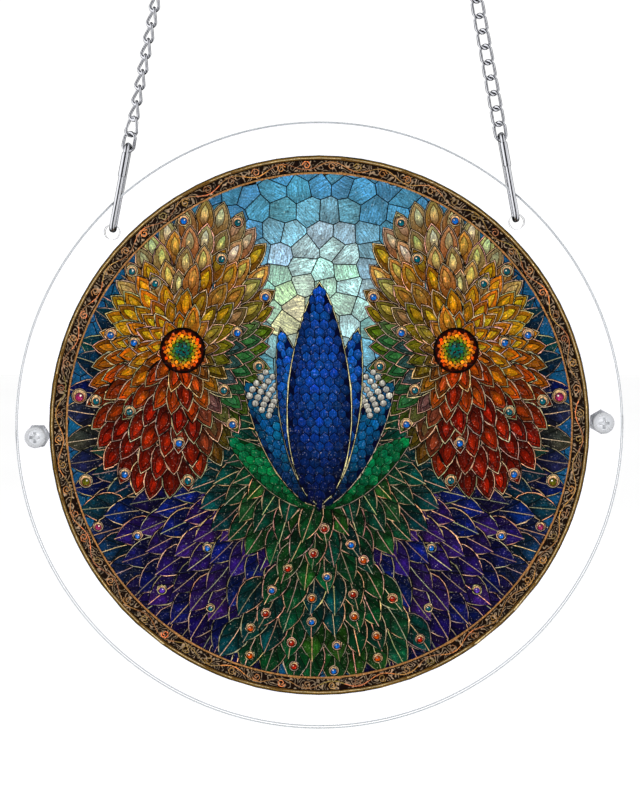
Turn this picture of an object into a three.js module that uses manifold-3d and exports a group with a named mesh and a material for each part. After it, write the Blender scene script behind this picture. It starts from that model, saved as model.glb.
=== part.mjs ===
// A round hanging suncatcher: a printed puzzle clamped between two clear plates by two screws.
// An oblong clip in each upper hole carries the plates on a strand of curb chain, and both
// strands meet on a small ring. Millimetres and degrees, +Z up, the picture faces -Y.
// The origin is where a hook bears, at the inner top of the ring.
import * as THREE from 'three';
import { mergeVertices } from 'three/addons/utils/BufferGeometryUtils.js';
import Module from 'manifold-3d';

// Puzzle and plates
const puzzleDiameter = 178;
const puzzleThickness = 3;
const plateThickness = 2;
const plateMargin = 11; // clear border from the puzzle's edge to the rim
const fixingOffset = 4.4; // from the puzzle's edge to the centres of the holes
const plateTurn = 1.45; // the plates hang turned by this, anticlockwise from the front
const hangDrop = 420; // from the origin down to the middle of the plates

// Holes for the clips, each side of the top
const hangHoleDiameter = 5;
const hangHoleAngle = 45.4;

// Screws and nuts, one at each side
const screwAngle = 90.7; // each way from the top
const screwDiameter = 4;
const screwHeadDiameter = 7;
const screwHeadHeight = 2.2;
const screwHeadCrown = 0.8; // height of the head's rounded edge
const screwProud = 0.8; // how far the tip stands out of the nut
const tipChamfer = 0.4;
const recessLength = 3.6;
const recessWidth = 0.9;
const recessDepth = 1.1;
const nutAcrossFlats = 7;
const nutThickness = 3.2;
const threadPlay = 0.3; // gap from the shank to the nut and to the plates' holes

// Oblong clips of round wire, with a sleeve where the wire's ends meet
const clipWire = 1.9;
const clipLength = 29.9;
const clipBend = 2.5; // radius of the bends at the middle of the wire
const clipPlay = 0.4; // gap from each leg to the plates
const sleeveDiameter = 2.5;
const sleeveLength = 8;

// Curb chain
const linkWire = 1.1;
const linkWidth = 4.8;
const linkPitch = 5.15; // nominal, each strand takes the nearest that gives whole links
const linkBite = 0.12; // how far touching links press into each other
const crossingPlay = 0.05; // gap where the wires of two links cross
const leftTwist = 55; // how far the left strand is turned about its own line, near the clip
const rightTwist = -8;
const ringTwist = 90; // both strands end square to the ring
const settlingLinks = 2; // from the clip, over which a strand takes up its own twist
const evenLinks = 12; // from the clip, before a strand starts to turn towards the ring

// Hanging ring
const ringInnerDiameter = 9;
const ringWire = 1.6;
const strandSpread = 22; // where each strand bears, from the ring's lowest point

const seatGap = 0.3; // between pieces that bear on each other along a leaning strand

// Facets and cuts
const discSteps = 64;
const holeSteps = 12;
const latheSteps = 16;
const nutSides = 6;
const wireSides = 6;
const linkSides = 4;
const linkSteps = 6;
const ringSteps = 20;
const bendSteps = 3;
const drillProud = 1; // how far a drill runs past each face of what it cuts

// Derived sizes
const puzzleRadius = puzzleDiameter / 2;
const plateRadius = puzzleRadius + plateMargin;
const fixingRadius = puzzleRadius + fixingOffset;
const stackHalf = puzzleThickness / 2 + plateThickness;
const hangHoleRadius = hangHoleDiameter / 2;
const screwRadius = screwDiameter / 2;
const screwHoleRadius = screwRadius + threadPlay;
const clipHalfDepth = stackHalf + clipPlay + clipWire / 2;
const ringMidRadius = (ringInnerDiameter + ringWire) / 2;

const radians = THREE.MathUtils.degToRad;
const wasm = await Module();
wasm.setup();

const clearAcrylic = { color: 0xe6edf2, roughness: 0.05, metalness: 0 };
const print = { color: 0x2c6a86, roughness: 0.3, metalness: 0 };
const nylon = { color: 0xdfe3e6, roughness: 0.35, metalness: 0 };
const steel = { color: 0xb9bcc0, roughness: 0.2, metalness: 1 };

// Solids and meshes

function toSolid(geometry) {
  const bare = geometry.clone();
  bare.deleteAttribute('normal');
  bare.deleteAttribute('uv');
  const merged = mergeVertices(bare);
  const corners = merged.index.array;
  const kept = [];
  for (let i = 0; i < corners.length; i += 3) {
    const [a, b, c] = [corners[i], corners[i + 1], corners[i + 2]];
    if (a !== b && b !== c && c !== a) {
      kept.push(a, b, c);
    }
  }
  return new wasm.Manifold(new wasm.Mesh({
    numProp: 3,
    vertProperties: Float32Array.from(merged.getAttribute('position').array),
    triVerts: Uint32Array.from(kept),
  }));
}

function namedMesh(name, solid, finish) {
  const { vertProperties, triVerts } = solid.getMesh();
  const geometry = new THREE.BufferGeometry();
  geometry.setAttribute('position', new THREE.BufferAttribute(vertProperties, 3));
  geometry.setIndex(new THREE.BufferAttribute(triVerts, 1));
  geometry.computeVertexNormals();
  const mesh = new THREE.Mesh(geometry, new THREE.MeshStandardMaterial(finish));
  mesh.name = name;
  return mesh;
}

// A place on a circle round the plates' middle, by its angle clockwise from the top, seen from
// the front, after the plates' own turn.
function onPlate(radius, angle) {
  const turned = radians(angle - plateTurn);
  return new THREE.Vector2(radius * Math.sin(turned), radius * Math.cos(turned));
}

function circlePoints(radius, steps, centre = new THREE.Vector2()) {
  return Array.from({ length: steps }, (_, i) => {
    const angle = (2 * Math.PI * i) / steps;
    return new THREE.Vector2(radius * Math.cos(angle), radius * Math.sin(angle)).add(centre);
  });
}

// An upright slab: its outline's points in X and Z, its thickness along Y.
function slab(outline, frontY, thickness) {
  const geometry = new THREE.ExtrudeGeometry(new THREE.Shape(outline), {
    depth: thickness,
    bevelEnabled: false,
  });
  geometry.rotateX(Math.PI / 2);
  geometry.translate(0, frontY + thickness, 0);
  return toSolid(geometry);
}

function drill(radius, centre, frontY, thickness) {
  const outline = circlePoints(radius, holeSteps, centre);
  return slab(outline, frontY - drillProud, thickness + 2 * drillProud);
}

// The way out of a closed path at one of its points, long enough for a mitred corner. The path
// runs anticlockwise about side, and may leave the plane square to side a little.
function mitre(path, index, side) {
  const here = path[index];
  const before = path[(index + path.length - 1) % path.length];
  const after = path[(index + 1) % path.length];
  const [inward, outward] = [here.clone().sub(before), after.clone().sub(here)]
    .map((run) => run.projectOnPlane(side).normalize().cross(side));
  return inward.clone().add(outward).divideScalar(1 + inward.dot(outward));
}

// A closed wire along a path: a torus with as many steps is bent to pass through its points.
function closedWire(path, side, wireRadius, sides) {
  const torusRadius = 4;
  const tubeRadius = 1;
  const count = path.length;
  const out = path.map((_, index) => mitre(path, index, side));
  const geometry = new THREE.TorusGeometry(torusRadius, tubeRadius, sides, count);
  const position = geometry.getAttribute('position');
  for (let i = 0; i < position.count; i++) {
    const x = position.getX(i);
    const y = position.getY(i);
    const turn = Math.atan2(y, x) / (2 * Math.PI) + 1;
    const index = Math.round(turn * count) % count;
    const outward = ((Math.hypot(x, y) - torusRadius) / tubeRadius) * wireRadius;
    const sideways = (position.getZ(i) / tubeRadius) * wireRadius;
    const place = path[index].clone()
      .addScaledVector(out[index], outward)
      .addScaledVector(side, sideways);
    position.setXYZ(i, place.x, place.y, place.z);
  }
  return geometry;
}

// Puzzle and plates

function puzzleSolid() {
  return slab(circlePoints(puzzleRadius, discSteps), -puzzleThickness / 2, puzzleThickness);
}

function plateSolid(frontY) {
  let plate = slab(circlePoints(plateRadius, discSteps), frontY, plateThickness);
  for (const side of [-1, 1]) {
    const hangHole = onPlate(fixingRadius, side * hangHoleAngle);
    const screwHole = onPlate(fixingRadius, side * screwAngle);
    plate = plate
      .subtract(drill(hangHoleRadius, hangHole, frontY, plateThickness))
      .subtract(drill(screwHoleRadius, screwHole, frontY, plateThickness));
  }
  return plate;
}

// Screws and nuts, turned about the Y axis

function screwSolid() {
  const headRadius = screwHeadDiameter / 2;
  const frontY = -stackHalf - screwHeadHeight;
  const tipY = stackHalf + nutThickness + screwProud;
  const crownRadius = headRadius - screwHeadCrown;
  const profile = [
    [0, frontY],
    [crownRadius, frontY],
    [headRadius, frontY + screwHeadCrown],
    [headRadius, -stackHalf],
    [screwRadius, -stackHalf],
    [screwRadius, tipY - tipChamfer],
    [screwRadius - tipChamfer, tipY],
    [0, tipY],
  ].map(([x, y]) => new THREE.Vector2(x, y));
  const turned = toSolid(new THREE.LatheGeometry(profile, latheSteps));
  const slot = new THREE.BoxGeometry(recessLength, 2 * recessDepth, recessWidth);
  slot.translate(0, frontY, 0);
  const crossSlot = slot.clone().rotateY(Math.PI / 2);
  return turned.subtract(toSolid(slot)).subtract(toSolid(crossSlot));
}

function nutSolid() {
  const cornerRadius = nutAcrossFlats / 2 / Math.cos(Math.PI / nutSides);
  const middle = new THREE.Vector2();
  return slab(circlePoints(cornerRadius, nutSides), stackHalf, nutThickness)
    .subtract(drill(screwHoleRadius, middle, stackHalf, nutThickness));
}

// Clips: an oblong of wire standing square to the plates. Z runs up the strand from the middle
// of the hole, and the lower end bears on the top of the hole through both plates.

function clipSeatHeight() {
  const intoBend = Math.max(0, stackHalf - (clipHalfDepth - clipBend));
  const drop = Math.sqrt(clipBend ** 2 - intoBend ** 2);
  const wireTop = clipBend - drop + ((clipWire / 2) * clipBend) / drop;
  return hangHoleRadius - seatGap - wireTop;
}

const clipFoot = clipSeatHeight();
const clipHead = clipFoot + clipLength - clipWire;

function clipPath() {
  const corners = [
    [1, clipHead - clipBend, 0],
    [-1, clipHead - clipBend, 90],
    [-1, clipFoot + clipBend, 180],
    [1, clipFoot + clipBend, 270],
  ];
  const path = [];
  for (const [way, height, start] of corners) {
    for (let step = 0; step <= bendSteps; step++) {
      const angle = radians(start + (90 * step) / bendSteps);
      path.push(new THREE.Vector3(
        0,
        way * (clipHalfDepth - clipBend) + clipBend * Math.cos(angle),
        height + clipBend * Math.sin(angle),
      ));
    }
  }
  return path;
}

function clipSolid() {
  const side = new THREE.Vector3(1, 0, 0);
  const wire = toSolid(closedWire(clipPath(), side, clipWire / 2, wireSides));
  const sleeve = new THREE.CylinderGeometry(
    sleeveDiameter / 2, sleeveDiameter / 2, sleeveLength, wireSides);
  sleeve.rotateX(Math.PI / 2);
  sleeve.translate(0, -clipHalfDepth, clipHead - clipBend - sleeveLength / 2);
  return wire.add(toSolid(sleeve));
}

// Curb chain: each link is a six-sided loop whose ends are twisted out of its plane, so that it
// passes in front of its neighbour on one side and behind it on the other.

function linkSolid(halfLength, pitch) {
  const halfWidth = (linkWidth - linkWire) / 2;
  const endAngle = Math.PI / 2 - Math.PI / linkSteps;
  const endLift = ((linkWire + crossingPlay) * halfLength) / pitch;
  const path = Array.from({ length: linkSteps }, (_, i) => {
    const angle = (2 * Math.PI * i) / linkSteps;
    return new THREE.Vector3(
      halfWidth * Math.cos(angle),
      (-endLift * Math.sin(2 * angle)) / Math.sin(2 * endAngle),
      (halfLength * Math.sin(angle)) / Math.sin(endAngle),
    );
  });
  return toSolid(closedWire(path, new THREE.Vector3(0, -1, 0), linkWire / 2, linkSides));
}

// How far a link is turned about the strand's line: as its clip holds it, then by the strand's
// own twist, and square to the ring at the top.
function linkTurn(index, count, twist) {
  const settle = Math.min(index / settlingLinks, 1);
  const share = Math.max(0, (index - evenLinks) / (count - 1 - evenLinks));
  const smooth = share * share * (3 - 2 * share);
  return settle * twist + smooth * (ringTwist - twist);
}

function strandSolid(length, twist) {
  const reach = (clipWire + linkWire) / 2 + seatGap;
  const lowest = clipHead - reach;
  const highest = length + (ringWire + linkWire) / 2 + seatGap;
  const linked = highest - lowest - linkWire + linkBite;
  const count = Math.round(linked / linkPitch);
  const pitch = linked / count;
  const halfLength = (pitch + linkWire - linkBite) / 2;
  const link = linkSolid(halfLength, pitch);
  let strand = null;
  for (let index = 0; index < count; index++) {
    const placed = link
      .rotate([0, 0, linkTurn(index, count, twist)])
      .translate([0, 0, lowest + halfLength + index * pitch]);
    strand = strand ? strand.add(placed) : placed;
  }
  return strand;
}

// Hanging ring

function ringSolid() {
  const path = circlePoints(ringMidRadius, ringSteps)
    .map(({ x, y }) => new THREE.Vector3(x, 0, y));
  return toSolid(closedWire(path, new THREE.Vector3(0, -1, 0), ringWire / 2, wireSides));
}

// The whole object

const group = new THREE.Group();

const plates = new THREE.Group();
plates.position.set(0, 0, -hangDrop);
plates.add(namedMesh('front_plate', plateSolid(-stackHalf), clearAcrylic));
plates.add(namedMesh('puzzle', puzzleSolid(), print));
plates.add(namedMesh('back_plate', plateSolid(puzzleThickness / 2), clearAcrylic));
group.add(plates);

const ring = namedMesh('hanging_ring', ringSolid(), steel);
ring.position.set(0, 0, -ringInnerDiameter / 2);
group.add(ring);

const sides = [
  { name: 'left', side: -1, twist: leftTwist, nutTurn: 0 },
  { name: 'right', side: 1, twist: rightTwist, nutTurn: 30 },
];
for (const { name, side, twist, nutTurn } of sides) {
  const fixing = new THREE.Group();
  const place = onPlate(fixingRadius, side * screwAngle);
  fixing.position.set(place.x, 0, place.y);
  fixing.add(namedMesh(`${name}_screw`, screwSolid(), nylon));
  const nut = namedMesh(`${name}_nut`, nutSolid(), nylon);
  nut.rotation.y = radians(nutTurn);
  fixing.add(nut);
  plates.add(fixing);

  const bore = onPlate(fixingRadius, side * hangHoleAngle);
  const foot = new THREE.Vector3(bore.x, 0, bore.y - hangDrop);
  const spread = radians(side * strandSpread);
  const bearing = new THREE.Vector3(
    ringMidRadius * Math.sin(spread), 0, ring.position.z - ringMidRadius * Math.cos(spread));
  const line = bearing.clone().sub(foot);
  const strand = new THREE.Group();
  strand.position.copy(foot);
  strand.rotation.y = Math.atan2(line.x, line.z);
  strand.add(namedMesh(`${name}_clip`, clipSolid(), steel));
  strand.add(namedMesh(`${name}_chain`, strandSolid(line.length(), twist), steel));
  group.add(strand);
}

export default group;
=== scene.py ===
"""Looks of a round hanging suncatcher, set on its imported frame.

A printed jigsaw puzzle is clamped between two clear plates, which hang on two strands of curb chain.
The picture is worked out here: a bud among fans of petals over a mosaic sky, like leaded glass.
Lengths are metres, and millimetres within the picture. +Z is up and the picture faces -Y.
"""

import math
import random

import bmesh
import bpy
import numpy as np
from bpy.props import FloatProperty, FloatVectorProperty, IntProperty, PointerProperty
from mathutils import Matrix, Vector
from mathutils.geometry import delaunay_2d_cdt


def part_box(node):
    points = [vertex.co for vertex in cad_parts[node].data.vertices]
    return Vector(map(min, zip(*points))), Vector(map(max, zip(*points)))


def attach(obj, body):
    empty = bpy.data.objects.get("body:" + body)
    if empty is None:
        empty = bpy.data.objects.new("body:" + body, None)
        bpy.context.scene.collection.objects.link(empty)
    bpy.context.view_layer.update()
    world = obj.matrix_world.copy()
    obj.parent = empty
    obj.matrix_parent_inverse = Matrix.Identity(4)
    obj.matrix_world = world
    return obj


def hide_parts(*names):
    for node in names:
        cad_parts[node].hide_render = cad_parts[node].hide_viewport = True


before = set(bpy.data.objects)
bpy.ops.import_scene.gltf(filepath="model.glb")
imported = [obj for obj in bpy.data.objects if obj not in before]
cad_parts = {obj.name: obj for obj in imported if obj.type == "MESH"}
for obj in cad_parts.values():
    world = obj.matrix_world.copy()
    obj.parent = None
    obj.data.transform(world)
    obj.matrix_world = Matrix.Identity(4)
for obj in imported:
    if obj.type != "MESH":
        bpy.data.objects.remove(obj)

bl_info = {
    "name": "Puzzle suncatcher",
    "version": (1, 0, 0),
    "blender": (4, 5, 0),
    "location": "View3D > Sidebar > Suncatcher",
    "description": "Builds the pieces of a round hanging suncatcher",
    "category": "Add Mesh",
}

MM = 0.001
BODY = "root"
PUZZLE_LOW, PUZZLE_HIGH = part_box("puzzle")
PLATE_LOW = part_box("front_plate")[0]
SCREW_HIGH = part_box("left_screw")[1]


# Sizes and colours


def length(name, description, default):
    """A length in metres that the user can set."""
    return FloatProperty(
        name=name, description=description, default=default, min=0.0, precision=5, unit="LENGTH"
    )


def angle(name, description, degrees):
    """An angle that the user can set."""
    return FloatProperty(
        name=name, description=description, default=math.radians(degrees), subtype="ANGLE"
    )


def linear(code):
    """A linear colour from a screen colour written as six hex digits."""
    parts = [int(code[i : i + 2], 16) / 255 for i in (0, 2, 4)]
    return tuple(p / 12.92 if p <= 0.04045 else ((p + 0.055) / 1.055) ** 2.4 for p in parts)


def tint(name, description, code):
    """A colour that the user can set."""
    return FloatVectorProperty(
        name=name,
        description=description,
        default=linear(code),
        size=3,
        min=0.0,
        max=1.0,
        subtype="COLOR",
    )


class SuncatcherSizes(bpy.types.PropertyGroup):
    """Sizes of the pieces."""

    plate_margin: length("Plate margin", "Clear border outside the puzzle", 11 * MM)
    plate_turn: angle("Plate turn", "How far the plates hang turned", 1.45)
    fixing_offset: length("Fixing offset", "From the puzzle's edge to the holes", 4.4 * MM)
    hang_hole: length("Hanging hole", "Diameter of the holes for the clips", 5 * MM)
    hang_angle: angle("Hanging angle", "From the top to each hanging hole", 45.4)
    screw_angle: angle("Screw angle", "From the top to each screw", 90.7)
    screw_shank: length("Screw shank", "Diameter of the threads", 4 * MM)
    screw_head: length("Screw head", "Diameter of the heads", 7 * MM)
    head_height: length("Head height", "Height of the screw heads", 2.2 * MM)
    nut_width: length("Nut width", "Across the flats", 7 * MM)
    nut_height: length("Nut height", "Along the screw", 3.2 * MM)
    thread_play: length("Thread play", "Room round the shank in the plates", 0.3 * MM)
    edge_bevel: length("Edge bevel", "Polished bevel of the plates' edges", 0.25 * MM)
    clip_wire: length("Clip wire", "Diameter of the clips' wire", 1.9 * MM)
    clip_length: length("Clip length", "Overall length of a clip", 29.9 * MM)
    clip_bend: length("Clip bend", "Radius of the bends", 2.5 * MM)
    clip_play: length("Clip play", "From each leg to the plates", 0.4 * MM)
    sleeve_width: length("Sleeve width", "Diameter of the clips' sleeve", 2.5 * MM)
    sleeve_length: length("Sleeve length", "Along the clip", 8 * MM)
    link_wire: length("Link wire", "Diameter of the chain's wire", 1.1 * MM)
    link_width: length("Link width", "Outer width of a link", 4.8 * MM)
    link_pitch: length("Link pitch", "Nominal distance from link to link", 5.15 * MM)
    link_bite: length("Link bite", "How far touching links press together", 0.12 * MM)
    left_twist: angle("Left twist", "Turn of the left strand about its line", -55)
    right_twist: angle("Right twist", "Turn of the right strand about its line", -8)
    ring_inner: length("Ring inside", "Inner diameter of the hanging ring", 9 * MM)
    ring_wire: length("Ring wire", "Diameter of the hanging ring's wire", 1.6 * MM)
    strand_spread: angle("Strand spread", "Where each strand bears on the ring", 22)
    seat_gap: length("Seat gap", "Between pieces that bear on each other", 0.3 * MM)
    seam_width: length("Seam width", "Width of the jigsaw's cuts", 0.3 * MM)
    seam_depth: length("Seam depth", "Depth of the jigsaw's cuts as they show", 0.3 * MM)
    pieces_across: IntProperty(
        name="Pieces across", description="Jigsaw pieces across the middle", default=13, min=2
    )
    border_width: length("Border width", "Width of the picture's gilt border", 6.3 * MM)


class SuncatcherColours(bpy.types.PropertyGroup):
    """Colours of the finishes."""

    steel: tint("Steel", "Clips, chain and ring", "e4e5e8")
    nylon: tint("Nylon", "Screws and nuts", "eef0f4")
    acrylic: tint("Acrylic", "Clear plates", "fdfdfe")
    acrylic_edge: tint("Acrylic edge", "Rims and holes of the clear plates", "99a0a6")
    cut: tint("Cut", "The jigsaw's cuts", "c3cbce")
    lead: tint("Lead", "Dark lines of the picture", "14110f")
    gilt: tint("Gilt", "Fine light lines of the picture", "dccab0")
    floor: tint("Floor", "Floor under the object", "f4f4f4")


def sizes():
    """The sizes as set in the scene."""
    return bpy.context.scene.suncatcher_sizes


def colours():
    """The colours as set in the scene."""
    return bpy.context.scene.suncatcher_colours


# Places worked out from the sizes


def puzzle_radius():
    """Radius of the puzzle in the frame."""
    return (PUZZLE_HIGH.x - PUZZLE_LOW.x) / 2


def plates_middle():
    """The middle of the plates in the frame."""
    return (PUZZLE_LOW + PUZZLE_HIGH) / 2


def stack_half():
    """From the middle of the stack to the outer face of a plate."""
    return -PLATE_LOW.y


def on_plate(turn):
    """A fixing's place on the plates, by its angle clockwise from the top, seen from the front."""
    radius = puzzle_radius() + sizes().fixing_offset
    turned = turn - sizes().plate_turn
    return plates_middle() + Vector((radius * math.sin(turned), 0, radius * math.cos(turned)))


def strand_frame(side):
    """Matrix from a strand, with Z up its line from the middle of its hole, to the row frame."""
    s = sizes()
    foot = on_plate(side * s.hang_angle)
    reach = (s.ring_inner + s.ring_wire) / 2
    spread = side * s.strand_spread
    top = Vector(
        (reach * math.sin(spread), 0, -s.ring_inner / 2 - reach * math.cos(spread))
    )
    line = top - foot
    turn = Matrix.Rotation(math.atan2(line.x, line.z), 4, "Y")
    return Matrix.Translation(foot) @ turn, line.length


# Mesh helpers


def deselect_all():
    """Nothing is selected, and no object is in edit mode."""
    if bpy.context.object and bpy.context.object.mode != "OBJECT":
        bpy.ops.object.mode_set(mode="OBJECT")
    bpy.ops.object.select_all(action="DESELECT")


def select_only(obj):
    """obj alone is selected and active."""
    deselect_all()
    obj.select_set(True)
    bpy.context.view_layer.objects.active = obj


def select_faces(obj, wanted):
    """In edit mode, only the faces that wanted accepts are selected."""
    bpy.ops.object.mode_set(mode="EDIT")
    bpy.ops.mesh.select_mode(type="FACE")
    bpy.ops.mesh.select_all(action="DESELECT")
    bpy.ops.object.mode_set(mode="OBJECT")
    for face in obj.data.polygons:
        face.select = wanted(face)
    bpy.ops.object.mode_set(mode="EDIT")


def select_points(obj, wanted):
    """In edit mode, only the points that wanted accepts are selected."""
    bpy.ops.object.mode_set(mode="EDIT")
    bpy.ops.mesh.select_mode(type="VERT")
    bpy.ops.mesh.select_all(action="DESELECT")
    bpy.ops.object.mode_set(mode="OBJECT")
    for point in obj.data.vertices:
        point.select = wanted(point.co)
    bpy.ops.object.mode_set(mode="EDIT")


def apply_place(obj):
    """The object's place, turn and scale go into its mesh."""
    select_only(obj)
    bpy.ops.object.transform_apply(location=True, rotation=True, scale=True)


def apply_modifier(obj, kind, **settings):
    """A modifier is added and applied."""
    select_only(obj)
    modifier = obj.modifiers.new(kind.title(), kind)
    for key, value in settings.items():
        setattr(modifier, key, value)
    bpy.ops.object.modifier_apply(modifier=modifier.name)


def cut_with(obj, tool):
    """The tool's shape is cut out of obj, and the tool is removed."""
    apply_modifier(obj, "BOOLEAN", object=tool, operation="DIFFERENCE", solver="EXACT")
    bpy.data.objects.remove(tool)


def rod(radius, low_y, high_y, centre, sides):
    """An upright-faced cylinder along Y, with its place in its mesh."""
    deselect_all()
    bpy.ops.mesh.primitive_cylinder_add(
        vertices=sides,
        radius=radius,
        depth=high_y - low_y,
        location=(centre.x, (low_y + high_y) / 2, centre.z),
        rotation=(math.radians(90), 0, 0),
    )
    made = bpy.context.object
    apply_place(made)
    return made


def bevel_rims(obj, width, segments, wanted):
    """The edges that wanted accepts are bevelled in edit mode."""
    select_only(obj)
    bpy.ops.object.mode_set(mode="EDIT")
    bpy.ops.mesh.select_mode(type="EDGE")
    bpy.ops.mesh.select_all(action="DESELECT")
    mesh = bmesh.from_edit_mesh(obj.data)
    for edge in mesh.edges:
        edge.select_set(wanted(edge))
    bmesh.update_edit_mesh(obj.data)
    bpy.ops.mesh.bevel(offset=width, segments=segments, affect="EDGES")
    bpy.ops.object.mode_set(mode="OBJECT")


def smooth(obj, degrees=35):
    """Faces that meet at less than the angle are shaded as one surface."""
    select_only(obj)
    bpy.ops.object.shade_smooth_by_angle(angle=math.radians(degrees))


def own_copy(obj, name, matrix):
    """A copy of obj with its own mesh, moved by matrix."""
    twin = obj.copy()
    twin.data = obj.data.copy()
    twin.name = name
    twin.data.transform(matrix)
    bpy.context.scene.collection.objects.link(twin)
    return twin


def finish_piece(obj, name, node, slot, *materials):
    """Names a piece, gives it its materials and sets it on the frame in place of its CAD node."""
    obj.name = name
    obj.data.name = name
    for material in materials:
        obj.data.materials.append(material)
    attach(obj, BODY)
    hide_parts(node)
    deselect_all()
    return obj


# Material helpers


def add_node(tree, kind, place, label="", **settings):
    """A node at a place in the tree, with its settings."""
    made = tree.nodes.new(kind)
    made.location = place
    made.label = label
    for key, value in settings.items():
        setattr(made, key, value)
    return made


def fill(tree, node, values):
    """Sets inputs of a node by name or number, each from a socket or to a plain value."""
    for key, value in values.items():
        if isinstance(value, bpy.types.NodeSocket):
            tree.links.new(value, node.inputs[key])
        else:
            node.inputs[key].default_value = value


def new_material(name):
    """A material with only its output and a Principled node."""
    material = bpy.data.materials.new(name)
    material.use_nodes = True
    tree = material.node_tree
    tree.nodes.clear()
    output = add_node(tree, "ShaderNodeOutputMaterial", (400, 0))
    surface = add_node(tree, "ShaderNodeBsdfPrincipled", (100, 0))
    fill(tree, output, {"Surface": surface.outputs["BSDF"]})
    return material, tree, surface


def new_group(name, inputs, outputs):
    """A shader node group with named inputs and outputs."""
    group = bpy.data.node_groups.new(name, "ShaderNodeTree")
    for way, sockets in (("INPUT", inputs), ("OUTPUT", outputs)):
        for label, kind in sockets:
            group.interface.new_socket(label, in_out=way, socket_type=kind)
    start = add_node(group, "NodeGroupInput", (-900, 0))
    end = add_node(group, "NodeGroupOutput", (600, 0))
    return group, start.outputs, end


def map_range(tree, source, low, high, to_low, to_high, place):
    """A value mapped from one range to another."""
    made = add_node(tree, "ShaderNodeMapRange", place)
    ends = {"From Min": low, "From Max": high, "To Min": to_low, "To Max": to_high}
    fill(tree, made, {"Value": source, **ends})
    return made.outputs["Result"]


def noise(tree, vector, scale, detail, place, roughness=0.55):
    """A noise texture's value."""
    made = add_node(tree, "ShaderNodeTexNoise", place)
    values = {"Vector": vector, "Scale": scale, "Detail": detail, "Roughness": roughness}
    fill(tree, made, values)
    return made.outputs["Fac"]


def object_place(tree):
    """Places by the object's own coordinates."""
    return add_node(tree, "ShaderNodeTexCoord", (-1500, 0)).outputs["Object"]


def math_of(tree, operation, place, *values):
    """The result of a math node over sockets or numbers."""
    made = add_node(tree, "ShaderNodeMath", place, operation=operation)
    fill(tree, made, dict(enumerate(values)))
    return made.outputs[0]


def grey_of(tree, value, place):
    """A value as a grey colour."""
    made = add_node(tree, "ShaderNodeCombineColor", place)
    fill(tree, made, {channel: value for channel in ("Red", "Green", "Blue")})
    return made.outputs["Color"]


def mix_colours(tree, first, second, place, blend="MULTIPLY", share=1.0):
    """Two colours mixed; each is a socket or a plain colour, and share a socket or a number."""
    made = add_node(tree, "ShaderNodeMix", place, data_type="RGBA", blend_type=blend)
    plain = [one if isinstance(one, bpy.types.NodeSocket) else (*one, 1.0) for one in (first, second)]
    fill(tree, made, {0: share, 6: plain[0], 7: plain[1]})
    return made.outputs[2]


def ramp_of(tree, value, place, *stops):
    """A ramp of colours over a value from 0 to 1, by (position, colour) pairs."""
    ramp = add_node(tree, "ShaderNodeValToRGB", place)
    elements = ramp.color_ramp.elements
    for index, (position, colour) in enumerate(stops):
        stop = elements[index] if index < 2 else elements.new(position)
        stop.position = position
        stop.color = (*colour, 1.0)
    fill(tree, ramp, {"Fac": value})
    return ramp.outputs["Color"]


def bump_of(tree, surface, height, strength, distance):
    """Small unevenness of a surface, by a height."""
    bump = add_node(tree, "ShaderNodeBump", (-150, -300))
    fill(tree, bump, {"Height": height, "Strength": strength, "Distance": distance})
    fill(tree, surface, {"Normal": bump.outputs["Normal"]})


# Materials


def printed_group():
    """Colour of printed glass: streaks along each cell, grain and small lights."""
    number = "NodeSocketFloat"
    group, start, end = new_group(
        "Printed glass streaks",
        [
            ("Tint", "NodeSocketColor"),
            ("Grain", "NodeSocketVector"),
            ("Streaks", number),
            ("Lights", number),
        ],
        [("Color", "NodeSocketColor")],
    )
    along = add_node(group, "ShaderNodeMapping", (-700, 100))
    fill(group, along, {"Vector": start["Grain"], "Scale": (0.28, 2.0, 1.0)})
    streak = noise(group, along.outputs["Vector"], 1.0, 4.0, (-500, 100), 0.62)
    grain = noise(group, start["Grain"], 1.7, 2.0, (-500, -150), 0.7)
    patch = noise(group, start["Grain"], 0.55, 1.0, (-500, -400))
    light = map_range(group, streak, 0.3, 0.7, -0.55, 0.55, (-300, 100))
    scaled = math_of(group, "MULTIPLY", (-100, 100), light, start["Streaks"])
    fine = map_range(group, grain, 0.3, 0.7, 0.5, 1.5, (-300, -150))
    total = math_of(group, "ADD", (0, 0), scaled, fine)
    shaded = mix_colours(group, start["Tint"], grey_of(group, total, (100, 0)), (250, 0))
    glint = map_range(group, grain, 0.6, 0.72, 0.0, 1.0, (-300, -400))
    spread = map_range(group, patch, 0.45, 0.62, 0.0, 1.0, (-300, -600))
    both = math_of(group, "MULTIPLY", (-100, -400), glint, spread)
    amount = math_of(group, "MULTIPLY", (50, -400), both, start["Lights"])
    lit = mix_colours(group, shaded, linear("fff3dc"), (420, 0), "MIX", amount)
    fill(group, end, {"Color": lit})
    return group


def printed_material(name, group, streaks, lights, backlit_glow):
    """A printed part of the picture, coloured by the mesh's own tint, with a painted glow in that
    tint as if lit from behind.
    """
    material, tree, surface = new_material(name)
    colour = add_node(tree, "ShaderNodeAttribute", (-900, 100), attribute_name="tint")
    grain = add_node(tree, "ShaderNodeUVMap", (-700, -150), uv_map="grain")
    deeper = add_node(tree, "ShaderNodeGamma", (-700, 100))
    fill(tree, deeper, {"Color": colour.outputs["Color"], "Gamma": 1.3})
    look = add_node(tree, "ShaderNodeGroup", (-450, 0), node_tree=group)
    fill(tree, look, {"Tint": deeper.outputs["Color"], "Grain": grain.outputs["UV"]})
    fill(tree, look, {"Streaks": streaks, "Lights": lights})
    shown = look.outputs["Color"]
    # The emission is a painted glow: the print shines by its own colour as if light came through it
    # from behind.
    fill(tree, surface, {"Base Color": shown, "Emission Color": shown, "Emission Strength": backlit_glow})
    fill(tree, surface, {"Roughness": 0.4, "Specular IOR Level": 0.25})
    return material


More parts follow.
